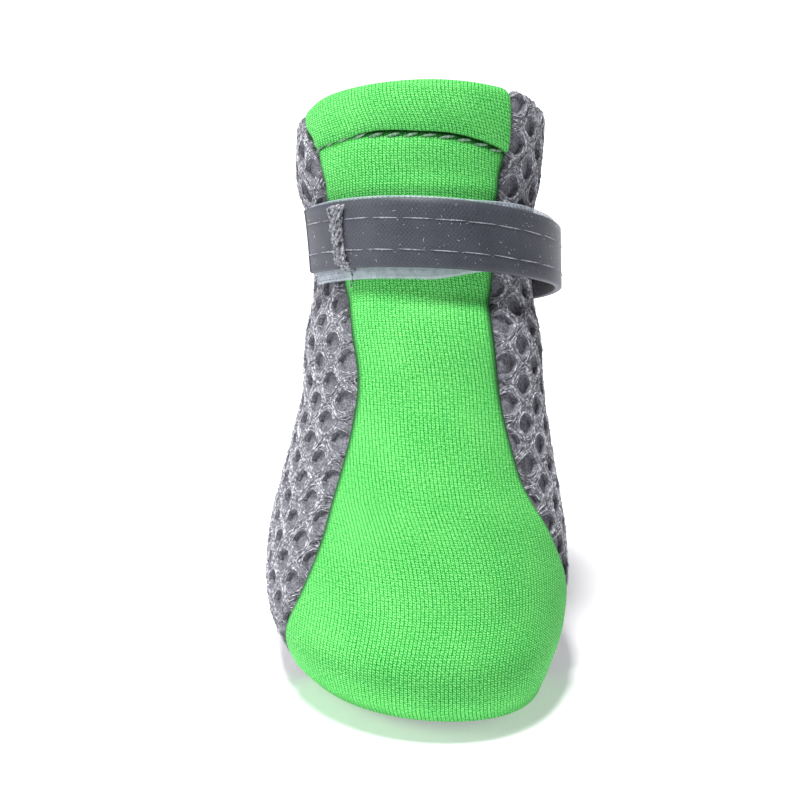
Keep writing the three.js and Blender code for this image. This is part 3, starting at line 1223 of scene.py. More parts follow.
@dataclass(frozen=True)
class Strands:
    """Closed rings of yarn laid on the surface, given their thickness by Geometry Nodes."""

    name: str
    material: Material
    radius: float
    sides: int = 3

    def make(self, loops: Array) -> Object:
        """Makes the yarns.

        Args:
            loops: rings by points by 3, in mm.

        Returns:
            The piece, one plain mesh.
        """
        wanted = {
            "Radius": ("NodeSocketFloat", self.radius * MM),
            "Sides": ("NodeSocketInt", self.sides),
            "Finish": ("NodeSocketMaterial", self.material),
        }
        graph, given, values = start_tree(self.name, wanted)
        lines = graph.add("GeometryNodeMeshToCurve", {"Mesh": given.outputs["Geometry"]})
        outline = {"Resolution": given.outputs["Sides"], "Radius": given.outputs["Radius"]}
        section = graph.add("GeometryNodeCurvePrimitiveCircle", outline)
        thick = graph.add("GeometryNodeCurveToMesh", {"Curve": lines, "Profile Curve": section})
        end_tree(graph, given, thick)
        count, each = loops.shape[:2]
        first = np.arange(count * each).reshape(count, each)
        edges = np.stack([first, np.roll(first, -1, axis=1)], axis=-1).reshape(-1, 2)
        rings = bpy.data.meshes.new(f"{self.name} lines")
        rings.from_pydata((loops.reshape(-1, 3) * MM).tolist(), edges.tolist(), [])
        return plain_result(self.name, rings, graph.tree, values)


def spindle(length: float, width: float, height: float, bow: float) -> tuple[Array, list[Face]]:
    """One stitch: a thread that rises from one hole and dips into the next.

    Args:
        length: along X.
        width: its widest.
        height: its thickest.
        bow: how far its middle rises above its ends.

    Returns:
        The points and faces.
    """
    count, sides, thinnest = 8, 6, 0.12
    t = np.linspace(-1.0, 1.0, count)
    path = np.stack([t * length / 2, np.zeros(count), bow * (1 - t**2)], axis=1)
    swell = np.maximum(1 - np.abs(t) ** 3, thinnest)
    points, faces = tube(path, 1.0, sides)
    middle = np.repeat(path, sides, axis=0)
    swell = np.repeat(swell, sides)[:, None]
    return middle + (points - middle) * swell * np.array([1.0, width / 2, height / 2]), faces


def along_row(points: Array, values: Array, pitch: float, start: float) -> tuple[Array, Array]:
    """Evenly spaced places on a path.

    Args:
        points: the path.
        values: what each of its points has, one row for each kind of value.
        pitch: mm between places.
        start: mm before the first one.

    Returns:
        The values at the places, and the unit tangents there.
    """
    run = run_along(points)
    at = np.arange(start, run[-1], pitch)
    tangent = unit(np.gradient(points, axis=0))
    number = np.interp(at, run, np.arange(len(points)))
    read = [np.interp(number, np.arange(len(points)), row) for row in (*np.atleast_2d(values), *tangent.T)]
    return np.array(read[:-3]), unit(np.stack(read[-3:], axis=1))


# ------ the strap's shape
@dataclass(frozen=True)
class StrapPath:
    """Where the strap and its hook tape run round the shaft."""

    surface: BootSurface
    gap: float = 0.3
    tape_thickness: float = 0.7
    strap_thickness: float = 1.0
    crown: float = 0.12  # how far the strap's middle stands proud of its edges
    free_end: float = -75.0  # degrees
    sewn_end: float = 224.0
    tape_start: float = -76.0
    tape_end: float = 112.0
    low_edge: float = 8.07  # sections
    low_tilt: float = 0.09
    high_edge: float = 9.06
    high_tilt: float = 0.12
    slack_height: float = 2.4
    slack_centre: float = 88.0
    slack_spread: float = 62.0
    tape_below: float = 0.18  # sections the tape shows below the strap near the free end
    tape_covered: float = 0.42  # sections it climbs behind the strap further round
    tape_above: float = 0.05
    tape_above_right: float = 0.09
    face_points: int = 9
    rim: float = 0.03  # the share of the width that its rounded edges take

    def bottom(self, angle: Array) -> Array:
        """The strap's lower edge, in sections."""
        return self.low_edge - self.low_tilt * np.sin(angle)

    def top(self, angle: Array) -> Array:
        """The strap's upper edge, in sections."""
        return self.high_edge - self.high_tilt * np.sin(angle)

    def slack(self, angle: Array) -> Array:
        """How far the strap's loop stands off, in mm."""
        turn = np.clip(np.abs(np.degrees(angle) - self.slack_centre) / self.slack_spread, 0.0, 1.0)
        return self.slack_height * np.cos(turn * math.pi / 2) ** 2

    def tape_bottom(self, angle: Array) -> Array:
        """The hook tape's lower edge, which shows at the free end.

        Args:
            angle: angles in radians.

        Returns:
            Heights in sections.
        """
        hidden = 0.03
        shown = (self.tape_below + hidden) * smoothstep(-np.degrees(angle), -22.0, 12.0)
        covered = self.tape_covered * smoothstep(np.degrees(angle), 25.0, 50.0)
        return self.bottom(angle) + hidden - shown + covered

    def tape_top(self, angle: Array) -> Array:
        """The hook tape's upper edge, which stands just above the strap."""
        further = self.tape_above_right * smoothstep(np.degrees(angle), 10.0, 45.0)
        return self.top(angle) + self.tape_above + further

    def inner(self) -> float:
        """The strap's inner face, in mm off the skin."""
        return self.gap + self.tape_thickness + self.gap

    def outer(self) -> float:
        """The strap's outer face, in mm off the skin."""
        return self.inner() + self.strap_thickness

    def on_strap(self, across: Array, angle: Array, offset: Array | float) -> Array:
        """Points over the strap: across is 0 at its lower edge and 1 at its upper one."""
        s = self.bottom(angle) + (self.top(angle) - self.bottom(angle)) * across
        return self.surface.place(s, angle, self.slack(angle) + offset)

    def band(
        self, low: Array, high: Array, angle: Array, inner: float, outer: float, crown: float
    ) -> Array:
        """The loop of points round a flat band's section, at each angle.

        Args:
            low: the lower edge's height at each angle.
            high: the upper edge's height.
            angle: the angles.
            inner: mm off the skin of the inner face.
            outer: mm off the skin of the outer face.
            crown: mm that the outer face's middle stands proud.

        Returns:
            Points, angles by section points by 3.
        """
        across = np.linspace(self.rim, 1 - self.rim, self.face_points)
        middle = (inner + outer) / 2
        half = (outer - inner) / 2
        bulge = crown * (1 - (2 * across - 1) ** 2)
        turn = np.radians([45.0, 0.0, -45.0])
        high_side, low_side = 1 - self.rim + self.rim * np.cos(turn), self.rim - self.rim * np.cos(turn[::-1])
        top_rim = np.stack([high_side, middle + half * np.sin(turn)], axis=1)
        low_rim = np.stack([low_side, middle + half * np.sin(turn[::-1])], axis=1)
        face = np.stack([across, outer + bulge], axis=1)
        back = np.stack([across[::-1], np.full_like(across, inner)], axis=1)
        section = np.concatenate([face, top_rim, back, low_rim])
        s = low[:, None] + (high - low)[:, None] * section[:, 0]
        turn = np.broadcast_to(angle[:, None], s.shape)
        return self.surface.place(s, turn, self.slack(turn) + section[:, 1])


# ------ sub-assemblies
@dataclass
class FrontPanel:
    """The knit neoprene front, from the sole's edge to the collar, and the folded hem above it."""

    surface: BootSurface
    outline: FrontOutline
    rows: int = 92
    columns: int = 46  # between the close ones beside both edges
    proud: float = 0.35  # how far the panel stands above the mesh beside it
    thickness: float = 1.35
    edge_roll: float = 2.2  # mm over which its side edges roll in
    edge_drop: float = 1.3
    seam_roll: float = 1.4  # mm over which it dips to the collar's seam
    seam_drop: float = 0.95
    under_hem: float = 0.02  # sections it runs on under the hem
    pressed: float = 0.2  # how far the strap presses it in
    hem_columns: int = 74
    hem_left: float = -88.0  # degrees
    hem_right: float = 36.5
    lip: float = 0.95  # radius of the hem's lower edge
    lip_height: float = 0.8  # its middle above the stitch line
    puff: float = 0.95  # how far the hem stands proud
    hem_inside: float = 3.2  # mm the hem reaches down inside the collar
    hem_thickness: float = 0.5
    hem_roll: float = 1.3
    hem_tuck: float = 0.9  # how far the hem's left end sinks into the mesh
    stitch_ends: tuple[float, float] = (-63.0, 33.5)  # degrees
    stitch_below: float = 0.055  # sections below the line
    stitch_pitch: float = 2.5
    stitch_lean: float = 13.0  # degrees
    knit: KnitNeoprene = KnitNeoprene()
    thread: SewingThread = SewingThread("grey-green polyester thread", "#3F6E4E", "#92B49A")

    def spread(self, left: Array, right: Array, s: Array) -> Array:
        """The angles of each row's points, close together at both edges.

        Args:
            left: each row's left edge in radians.
            right: its right edge.
            s: its height in sections.

        Returns:
            Angles, rows by points.
        """
        close = np.array([0.0, 0.12, 0.35, 0.7, 1.15, 1.7, 2.3])  # mm from the edge
        width = (right - left) * self.surface.girth(s, (left + right) / 2)
        near = close[None] / width[:, None]
        middle = np.linspace(0.0, 1.0, self.columns + 2)[1:-1][None]
        span = near[:, -1:] + (1 - 2 * near[:, -1:]) * middle
        share = np.concatenate([near, span, 1 - near[:, ::-1]], axis=1)
        return left[:, None] + (right - left)[:, None] * share

    def clear_of_edges(self, points: Array) -> Array:
        """The distance of each row's points from the nearer side edge, along the row."""
        run = run_along(points, axis=1)
        return np.minimum(run, run[:, -1:] - run)

    def knitted(
        self, name: str, outer: Array, inner: Array, seam_shade: Array, fill: float, *nodes: str
    ) -> None:
        """Makes, dresses and declares one closed padded piece of knit.

        Args:
            name: the piece's name.
            outer: its outer face's points, rows by columns.
            inner: its inner face's points.
            seam_shade: how much painted shade the outer face gets where it turns into a seam, from 0 to 1.
            fill: how full its padding is; not used.
            *nodes: the CAD nodes it stands for.
        """
        points, faces = shell(outer, inner)
        run = run_along(outer, axis=1)
        middle = outer.shape[1] // 2
        up = np.broadcast_to(run_along(outer[:, middle])[:, None], run.shape)
        cloth = np.stack([run - run[:, middle : middle + 1], up], axis=-1).reshape(-1, 2)
        both = np.tile(seam_shade.ravel(), 2)
        piece = make_piece(name, points, faces, [self.knit.material()], np.tile(cloth, (2, 1)), seam_shade=both)
        declare(piece, Slot.UPPER, *nodes)

    def panel(self) -> None:
        """The front panel, a closed padded shell that ends under the hem."""
        share = np.concatenate([[-0.30, -0.16, -0.07], np.linspace(0.0, 1.0, self.rows)])
        crown = self.outline.stitch_line(np.array(0.0))
        s_row = np.where(share < 0, share, share * crown)
        angle = self.spread(self.outline.left_edge(s_row), self.outline.right_edge(s_row), s_row)
        top = self.outline.stitch_line(angle) + self.under_hem
        s = np.where(s_row[:, None] < 0, s_row[:, None], s_row[:, None] / crown * top)
        below = (top - s) * self.surface.run
        clear = self.clear_of_edges(self.surface.place(s, angle))
        sides = self.edge_drop * rolled_edge(clear, self.edge_roll)
        drop = np.maximum(sides, self.seam_drop * rolled_edge(below, self.seam_roll))
        pressed = self.pressed * smoothstep(s, 7.7, 8.0) * (1 - smoothstep(s, 9.1, 9.4))
        # painted shade where the side edges roll into their seams and just under the hem
        seam_shade = 1 - smoothstep(np.minimum(clear, below + 0.4), 0.5, 1.7)
        outer = self.surface.place(s, angle, self.proud - pressed - drop)
        inner = self.surface.place(s, angle, np.full_like(s, self.proud - self.thickness))
        self.knitted("front_panel", outer, inner, seam_shade, 0.6, "upper")

    def hem_profile(self, rise: Array) -> tuple[Array, Array]:
        """The hem's section, from its lip up the face, over the fold and down inside.

        Args:
            rise: the fold's height above the stitch line in mm, at each angle.

        Returns:
            Heights above the stitch line in mm and offsets, each angles by profile points.
        """
        turn = np.radians(np.array([-65.0, -35.0, -8.0, 20.0, 50.0, 90.0]))
        lip_height = self.lip_height - self.lip * np.cos(turn)
        face = np.linspace(0.0, 1.0, 11)[1:]
        face_height = self.lip_height + (rise[:, None] - self.lip_height) * face
        roll = np.linspace(0.0, 1.0, 12)[1:]
        roll_height = rise[:, None] + roll * math.pi * self.surface.fold_radius
        inside = np.array([0.35, 0.7, 0.9, 1.0])
        inside_height = roll_height[:, -1:] + inside * self.hem_inside
        lips = np.tile(lip_height, (len(rise), 1))
        heights = np.concatenate([lips, face_height, roll_height, inside_height], axis=1)
        face_offset = self.puff + 0.25 * np.sin(face * math.pi)
        roll_offset = self.puff + (0.35 - self.puff) * roll
        inside_offset = np.array([0.3, 0.25, 0.1, -0.3])
        offsets = np.concatenate([self.lip * np.sin(turn), face_offset, roll_offset, inside_offset])
        return heights, np.tile(offsets, (len(rise), 1))

    def hem(self) -> None:
        """The collar's folded hem, one closed puffy band with rounded ends."""
        left, right = math.radians(self.hem_left), math.radians(self.hem_right)
        angle = left + (right - left) * np.linspace(0.0, 1.0, self.hem_columns)
        line = self.outline.stitch_line(angle)
        fold = self.surface.fold_at
        low_points, high_points = self.surface.outside(line, angle), self.surface.outside(fold, angle)
        rise = np.linalg.norm(high_points - low_points, axis=-1)
        heights, offsets = self.hem_profile(rise)
        s_low = line[:, None] + (fold - line[:, None]) * heights / rise[:, None]
        s_high = fold + (heights - rise[:, None]) / self.surface.run
        s = np.where(heights < rise[:, None], s_low, s_high).T
        offset = offsets.T
        slant = self.outline.left_edge(s)
        turn = right - (right - np.broadcast_to(angle, s.shape)) * (right - slant) / (right - left)
        clear = self.clear_of_edges(self.surface.place(s, turn))
        drop = (offset + 0.6) * rolled_edge(clear, self.hem_roll)
        left_end = 1 - smoothstep(np.degrees(turn), -84.0, -55.0)
        drop = drop + self.hem_tuck * left_end * smoothstep(offset, 0.0, 0.9)
        # painted shade along the hem's rolled ends and under its lip
        seam_shade = 0.8 * (1 - smoothstep(np.minimum(clear, heights.T + 0.7), 0.1, 0.9))
        outer = self.surface.place(s, turn, offset - drop)
        inner = self.surface.place(s, turn, np.minimum(offset - drop, 0.0) - self.hem_thickness)
        self.knitted("collar_hem", outer, inner, seam_shade, 0.7)

    def stitches(self) -> None:
        """The row of rope-like stitches under the hem."""
        angle = np.radians(np.linspace(*self.stitch_ends, 160))
        s = self.outline.stitch_line(angle) - self.stitch_below
        path = self.surface.place(s, angle)
        (height, at), along = along_row(path, np.stack([s, angle]), self.stitch_pitch, 0.8)
        out = self.surface.normal(height, at)
        lean = math.radians(self.stitch_lean)
        along = along * math.cos(lean) + np.cross(out, along) * math.sin(lean)
        places = Places(self.surface.place(height, at, 0.16), along, out)
        shape = spindle(2.2, 0.44, 0.38, 0.12)
        row = Repeat("collar_stitches", shape, self.thread.material(), 11, 0.06, 0.05).make(places)
        declare(row, Slot.UPPER)

    def build(self) -> None:
        """Builds and dresses the front."""
        self.panel()
        self.hem()
        self.stitches()


@dataclass(frozen=True)
class Holes:
    """The mesh's holes: their centres on the flat cloth, and where those lie on the boot."""

    centres: Array
    s: Array
    angle: Array
    side: Array


@dataclass
class AirMeshPanel:
    """The spacer mesh of the sides and back, with its real holes, bright yarns and backing."""

    surface: BootSurface
    outline: FrontOutline
    hole_width: float = 3.15
    hole_height: float = 3.15
    pitch_around: float = 6.3
    pitch_up: float = 5.6
    hole_depth: float = 0.67
    columns: int = 28  # to each side of the front
    lowest_row: int = -4
    highest_row: int = 16
    under_panel: float = 1.8  # mm the mesh runs on under the knit panel
    tuck: float = 1.22  # how deep it lies there
    low: float = -0.28
    high: float = 11.75
    collar_lift: float = 1.0  # mm the collar stands higher beside the hem's right end
    back_seam: float = 0.6  # how near the mesh gets to its full dip at the back seam, in mm
    past_back: float = 0.25  # radians past the back that a hole's centre may lie
    yarned_from: float = -1.6  # the clearance in mm from which a hole has its yarns
    unevenness: float = 0.05  # of the yarns' rings, as a share of their size
    yarn_radius: float = 0.065
    yarns: int = 6
    yarn_points: int = 20
    side_points: int = 4
    ground: MeshGround = MeshGround()
    yarn: FilamentYarn = FilamentYarn()
    backing: SpacerBacking = SpacerBacking()

    def corners(self) -> Array:
        """The corners of the six-sided cell round a hole.

        Returns:
            Six points on the flat cloth, in mm from the hole's centre.
        """
        half, rise = self.pitch_around / 2, self.pitch_up / 2
        # the four slanted neighbours and the two beside it bound the cell
        tip = rise / 2 + half**2 / (2 * rise)
        edge = (half**2 + rise**2) / (2 * rise) - half * half / rise
        return np.array([[half, edge], [0, tip], [-half, edge], [-half, -edge], [0, -tip], [half, -edge]])

    def cell_rim(self) -> Array:
        """The cell's rim.

        Returns:
            Points round it, the same number on each side.
        """
        corners = self.corners()
        share = np.arange(self.side_points)[:, None] / self.side_points
        sides = [a + (b - a) * share for a, b in zip(corners, np.roll(corners, -1, axis=0))]
        return np.concatenate(sides)

    def hole_rim(self, grow: float = 1.0) -> Array:
        """A ring round the hole.

        Args:
            grow: its size as a share of the hole's.

        Returns:
            One point for each point of the cell's rim.
        """
        rim = self.cell_rim()
        turn = np.arctan2(rim[:, 1] / self.hole_height, rim[:, 0] / self.hole_width)
        width, height = self.hole_width / 2 * grow, self.hole_height / 2 * grow
        return np.stack([width * np.cos(turn), height * np.sin(turn)], axis=1)

    def holes(self, flat: FlatCloth) -> Holes:
        """The holes that fall on the mesh panel.

        Args:
            flat: the flat cloth.

        Returns:
            The holes.
        """
        columns = np.arange(-self.columns, self.columns + 1)
        rows = np.arange(self.lowest_row, self.highest_row + 1)
        i, j = (t.ravel() for t in np.meshgrid(columns, rows, indexing="ij"))
        u = i * self.pitch_around / 2
        v = j * self.pitch_up + (i % 2) * self.pitch_up / 2
        side = np.where(u > 0, 1, -1)
        s, angle = flat.find(u.astype(float), v.astype(float), side)
        kept = self.outline.clearance(self.surface, s, angle) > -self.under_panel - 0.4
        kept &= (s > flat.low + 0.01) & (s < flat.high - 0.01)
        kept &= side * (angle - math.pi) < self.past_back
        return Holes(np.stack([u, v], axis=1)[kept], s[kept], angle[kept], side[kept])

    def held_in(self, s: Array, angle: Array, side: Array) -> tuple[Array, Array, Array]:
        """Keeps points within their side's own edges.

        Args:
            s: heights in sections.
            angle: angles in radians.
            side: 1 or -1.

        Returns:
            Heights, angles, and the clearance from the nearest seam in mm.
        """
        s = np.clip(s, self.low, self.high)
        angle = np.where(side > 0, np.minimum(angle, math.pi), np.maximum(angle, math.pi))
        clear = self.outline.clearance(self.surface, s, angle)
        excess = np.maximum(-self.under_panel - clear, 0.0) / self.surface.girth(s, angle)
        angle = np.where(angle < math.pi, angle + excess, angle - excess)
        from_back = np.abs(angle - math.pi) * self.surface.girth(s, angle)
        clear = np.minimum(np.maximum(clear, -self.under_panel), from_back + self.back_seam)
        return s, angle, clear

    def depth(self, clear: Array) -> Array:
        """How deep the mesh lies, from its clearance: it dips into the seam beside the panel."""
        return -self.tuck * (1 - smoothstep(clear, 0.0, 1.0))

    def settle(self, s: Array, angle: Array, offset: Array) -> Array:
        """Places points on the mesh, with the collar a little higher beside the hem.

        Args:
            s: heights in sections.
            angle: angles from 0 to 2 pi.
            offset: mm outwards.

        Returns:
            The points in mm.
        """
        degrees = np.degrees(angle)
        beside = smoothstep(degrees, 28.0, 40.0) * (1 - smoothstep(degrees, 75.0, 125.0))
        lift = self.collar_lift * beside * smoothstep(s, 9.3, 10.7)
        up_leg = np.array([0.0, -0.3, 0.95])
        return self.surface.place(s, angle, offset) + lift[..., None] * up_leg

    def sheet(self, flat: FlatCloth, holes: Holes, wall: Material) -> None:
        """The mesh's ground with a walled oval hole in each cell.

        Args:
            flat: the flat cloth.
            holes: the holes on it.
            wall: their walls' material.
        """
        cell, hole = self.cell_rim(), self.hole_rim()
        rings = np.stack([cell, cell * 0.45 + hole * 0.55, hole, self.hole_rim(0.94)])
        places = holes.centres[:, None, None] + rings[None]
        shape = places.shape[:3]
        side = np.repeat(holes.side, shape[1] * shape[2])
        s, angle, clear = self.held_in(*flat.find(places[..., 0].ravel(), places[..., 1].ravel(), side), side)
        # the cloth rises a little between the cell's edge and the hole, and drops down the wall
        deep = self.depth(clear).reshape(shape) + np.array([-0.05, 0.05, -0.12, 0.0])[:, None]
        deep[:, 3] = np.minimum(-self.hole_depth, deep[:, 2] - 0.1)
        points = self.settle(s, angle, deep.ravel())
        levels, count = rings.shape[:2]
        faces, kinds = [], []
        for number in range(len(holes.centres)):
            quads = grid_faces(levels, count, True, number * count * levels)
            faces += [tuple(reversed(face)) for face in quads]
            kinds += [0] * count * (levels - 2) + [1] * count
        piece = make_piece("air_mesh", points, faces, [self.ground.material(), wall], kinds=kinds)
        # neighbouring cells share their rims
        work = bmesh.new()
        work.from_mesh(piece.data)
        bmesh.ops.remove_doubles(work, verts=work.verts, dist=0.00002)
        bmesh.ops.dissolve_degenerate(work, edges=work.edges, dist=0.00001)
        work.to_mesh(piece.data)
        work.free()
        declare(piece, Slot.UPPER)

    def yarn_rings(self, flat: FlatCloth, holes: Holes) -> None:
        """Bright yarns round every hole that shows, from its rim out to the cell's.

        Args:
            flat: the flat cloth.
            holes: the holes on it.
        """
        shown = self.outline.clearance(self.surface, holes.s, holes.angle) > self.yarned_from
        shown &= (holes.s < self.high - 0.1) & (holes.side * (holes.angle - math.pi) < 0.02)
        centres, side = holes.centres[shown], holes.side[shown]
        random = np.random.default_rng(5)
        turn = np.linspace(0.0, 2 * math.pi, self.yarn_points, endpoint=False)
        inner, outer = self.hole_rim(1.05), self.cell_rim() * 0.97
        numbers = np.arange(len(inner) + 1)
        number = np.linspace(0.0, len(inner), self.yarn_points, endpoint=False)
        paths = []
        for ring in range(self.yarns):
            out = ring / (self.yarns - 1)
            rim = inner * (1 - out) + outer * out
            closed = np.vstack([rim, rim[:1]]).T
            rim = np.stack([np.interp(number, numbers, part) for part in closed], axis=1)
            wave = random.normal(0.0, self.unevenness, (len(centres), self.yarn_points))
            phase = random.uniform(0, 2 * math.pi, (2, len(centres), 1))
            wave += 0.06 * np.sin(2 * turn + phase[0]) + 0.05 * np.sin(3 * turn + phase[1])
            # the innermost yarn keeps the hole round
            wave = np.maximum(wave * (0.35 + 0.65 * min(1.0, 2.5 * out)), -0.02 - 0.2 * out)
            paths.append(centres[:, None] + rim[None] * (1 + wave[..., None]))
        places = np.concatenate(paths)
        side = np.repeat(np.tile(side, self.yarns), self.yarn_points)
        found = flat.find(places[..., 0].ravel(), places[..., 1].ravel(), side)
        at_s, at_angle, clear = self.held_in(*found, side)
        rise = random.normal(0.05, 0.08, len(at_s))
        points = self.settle(at_s, at_angle, self.depth(clear) + rise)
        loops = points.reshape(self.yarns, len(centres), self.yarn_points, 3)
        material = self.yarn.material()
        near = self.yarns // 2
        for name, part in (("mesh_rim_yarns", loops[:near]), ("mesh_ground_yarns", loops[near:])):
            rings = part.reshape(-1, self.yarn_points, 3)
            declare(Strands(name, material, self.yarn_radius).make(rings), Slot.UPPER)

    def back_layer(self, material: Material) -> None:
        """The backing behind the holes, one closed sleeve.

        Args:
            material: its finish.
        """
        s = np.concatenate([np.linspace(0.05, 10.8, 64), np.linspace(10.83, 11.7, 16)])[:, None]
        angle = np.linspace(0.0, 2 * math.pi, 120, endpoint=False)[None]
        s, angle = np.broadcast_arrays(s, angle)
        dip = 0.4 * self.depth(self.outline.clearance(self.surface, s, angle))
        outer = self.settle(s, angle, dip - self.hole_depth - 0.02)
        inner = self.settle(s, angle, dip - self.hole_depth - 0.3)
        points, faces = shell(outer, inner, round_it=True)
        declare(make_piece("mesh_backing", points, faces, [material]), Slot.UPPER)

    def build(self) -> None:
        """Builds and dresses the sides and back."""
        flat = FlatCloth(self.surface)
        holes = self.holes(flat)
        backing = self.backing.material()
        self.sheet(flat, holes, backing)
        self.yarn_rings(flat, holes)
        self.back_layer(backing)


@dataclass
class Lining:
    """The plain inner sleeve, from the insole to the collar's fold."""

    surface: BootSurface
    outer: float = -1.75  # mm off the skin
    inner: float = -2.15
    low: float = 0.35  # sections
    high: float = 10.9
    section_height: float = 7.0  # mm of cloth to one section
    flat: tuple[float, float] = (0.115, 0.085)  # metres
    area: float = 0.0095  # square metres
    finish: TricotLining = TricotLining()

    def build(self) -> None:
        """Builds and dresses the lining."""
        s = np.linspace(self.low, self.high, 60)[:, None]
        angle = np.linspace(0.0, 2 * math.pi, 96, endpoint=False)[None]
        far = self.surface.place(s, angle, self.outer)
        near = self.surface.place(s, angle, self.inner)
        points, faces = shell(far, near, round_it=True)
        round_it = self.surface.girth(s, angle) * np.abs(angle - math.pi)
        cloth = np.stack([round_it, np.broadcast_to(s * self.section_height, round_it.shape)], axis=-1)
        cloth = np.tile(cloth.reshape(-1, 2), (2, 1))
        piece = make_piece("lining", points, faces, [self.finish.material()], cloth)
        declare(piece, Slot.UPPER)


@dataclass
class Fastening:
    """The reflective strap, its hook tape, thread rows, hooks and lint."""

    path: StrapPath
    rows: tuple[float, float] = (0.25, 0.67)  # the thread rows' places across the strap
    tack_rows: tuple[float, float] = (3.5, 8.0)  # degrees from the sewn end
    stitch_pitch: float = 4.6
    stitch_length: float = 4.3
    stitch_lift: float = 0.08
    aside: float = 0.02  # a small step along or across, for directions
    hook_pitch: float = 2.6  # degrees
    lint_count: int = 260
    tape: ReflectiveTape = ReflectiveTape()
    pile: LoopPile = LoopPile()
    hooks: HookPlastic = HookPlastic()
    thread: SewingThread = SewingThread("light grey polyester thread", "#6E6E79", "#ADADB8")
    lint: SewingThread = SewingThread("cotton lint", "#A9A9B2", "#E6E6EC")

    def band_piece(self, name: str, points: Array, materials: list[Material]) -> Object:
        """A flat band, capped at both ends, with its inner face in the last material.

        Args:
            name: the piece's name.
            points: its section loops, angles by section points.
            materials: its materials.

        Returns:
            The piece.
        """
        around, section = points.shape[:2]
        last = (around - 1) * section
        faces = grid_faces(around, section, True)
        faces += [tuple(range(section)), tuple(range(last + section - 1, last - 1, -1))]
        faces = [tuple(reversed(face)) for face in faces]
        first = self.path.face_points + 2
        behind = range(first, first + self.path.face_points)
        kinds = [(len(materials) - 1) * (j in behind) for _ in range(around - 1) for j in range(section)]
        run, across = run_along(points[:, 0]), run_along(points[0])
        cloth = np.stack(np.meshgrid(run, across, indexing="ij"), axis=-1).reshape(-1, 2)
        return make_piece(name, points.reshape(-1, 3), faces, materials, cloth, kinds + [0, 0])

    def strap(self) -> None:
        """The strap, closed round the shaft with its slack loop."""
        path = self.path
        angle = np.radians(np.linspace(path.free_end, path.sewn_end, 132))
        edges = path.bottom(angle), path.top(angle)
        points = path.band(*edges, angle, path.inner(), path.outer(), path.crown)
        piece = self.band_piece("strap", points, [self.tape.material(), self.pile.material()])
        declare(piece, Slot.STRAP, "strap")

    def hook_tape(self) -> None:
        """The hook tape under the strap."""
        path = self.path
        angle = np.radians(np.linspace(path.tape_start, path.tape_end, 88))
        edges = path.tape_bottom(angle), path.tape_top(angle)
        points = path.band(*edges, angle, path.gap, path.gap + path.tape_thickness, 0.0)
        declare(self.band_piece("hook_tape", points, [self.hooks.material()]), Slot.HOOK, "hook_tape")

    def thread_rows(self) -> None:
        """Two rows of light stitches along the strap, and two across its sewn end."""
        level = self.path.outer() + self.stitch_lift
        spots = []
        angle = np.radians(np.linspace(self.path.free_end + 1.0, self.path.sewn_end - 2.0, 400))
        for number, row in enumerate(self.rows):
            path = self.path.on_strap(np.full_like(angle, row), angle, level)
            (at,), along = along_row(path, angle, self.stitch_pitch, 1.0 + 1.3 * number)
            seat = self.path.on_strap(np.full_like(at, row), at, level)
            up = self.path.on_strap(np.full_like(at, row + 0.05), at, level) - seat
            spots.append((seat, along, unit(np.cross(along, up)), np.ones_like(seat)))
        for back in self.tack_rows:
            across = np.linspace(0.08, 0.92, 120)
            turn = np.full_like(across, math.radians(self.path.sewn_end - back))
            path = self.path.on_strap(across, turn, level)
            (at,), along = along_row(path, across, self.stitch_pitch / 2, 0.5)
            turn = turn[: len(at)]
            seat = self.path.on_strap(at, turn, level)
            side = self.path.on_strap(at, turn + self.aside, level) - seat
            # these stitches are half as long
            size = np.broadcast_to([0.5, 1.0, 1.0], seat.shape)
            spots.append((seat, along, unit(np.cross(side, along)), size))
        places = Places(*(np.concatenate(parts) for parts in zip(*spots)))
        shape = spindle(self.stitch_length, 0.19, 0.16, 0.03)
        rows = Repeat("strap_stitches", shape, self.thread.material(), 31, 0.05, 0.03).make(places)
        declare(rows, Slot.STRAP)

    def hook_rows(self) -> None:
        """Small hooks on the hook tape's edges that show beside the strap."""
        angle = np.radians(np.arange(self.path.tape_start + 2, self.path.tape_end - 2, self.hook_pitch))
        spots = []
        for edge, shift in ((self.path.tape_top, -0.025), (self.path.tape_bottom, 0.04)):
            for step in range(2):
                s = edge(angle) + shift * (1 + 2.2 * step)
                spots.append((s, angle + math.radians(self.hook_pitch / 2 * step)))
        s, turn = (np.concatenate(parts) for parts in zip(*spots))
        offset = self.path.gap + self.path.tape_thickness + self.path.slack(turn)
        points = self.path.surface.place(s, turn, offset)
        along = unit(self.path.surface.place(s, turn + self.aside, offset) - points)
        places = Places(points, along, self.path.surface.normal(s, turn))
        stem = np.array([[0, 0, -0.05], [0, 0, 0.12], [0.05, 0, 0.2], [0.15, 0, 0.22], [0.2, 0, 0.15]])
        shape = tube(stem, np.array([0.09, 0.08, 0.08, 0.07, 0.03]), 5)
        hooks = Repeat("tape_hooks", shape, self.hooks.material(), 41, 0.1, 0.2).make(places)
        declare(hooks, Slot.HOOK)

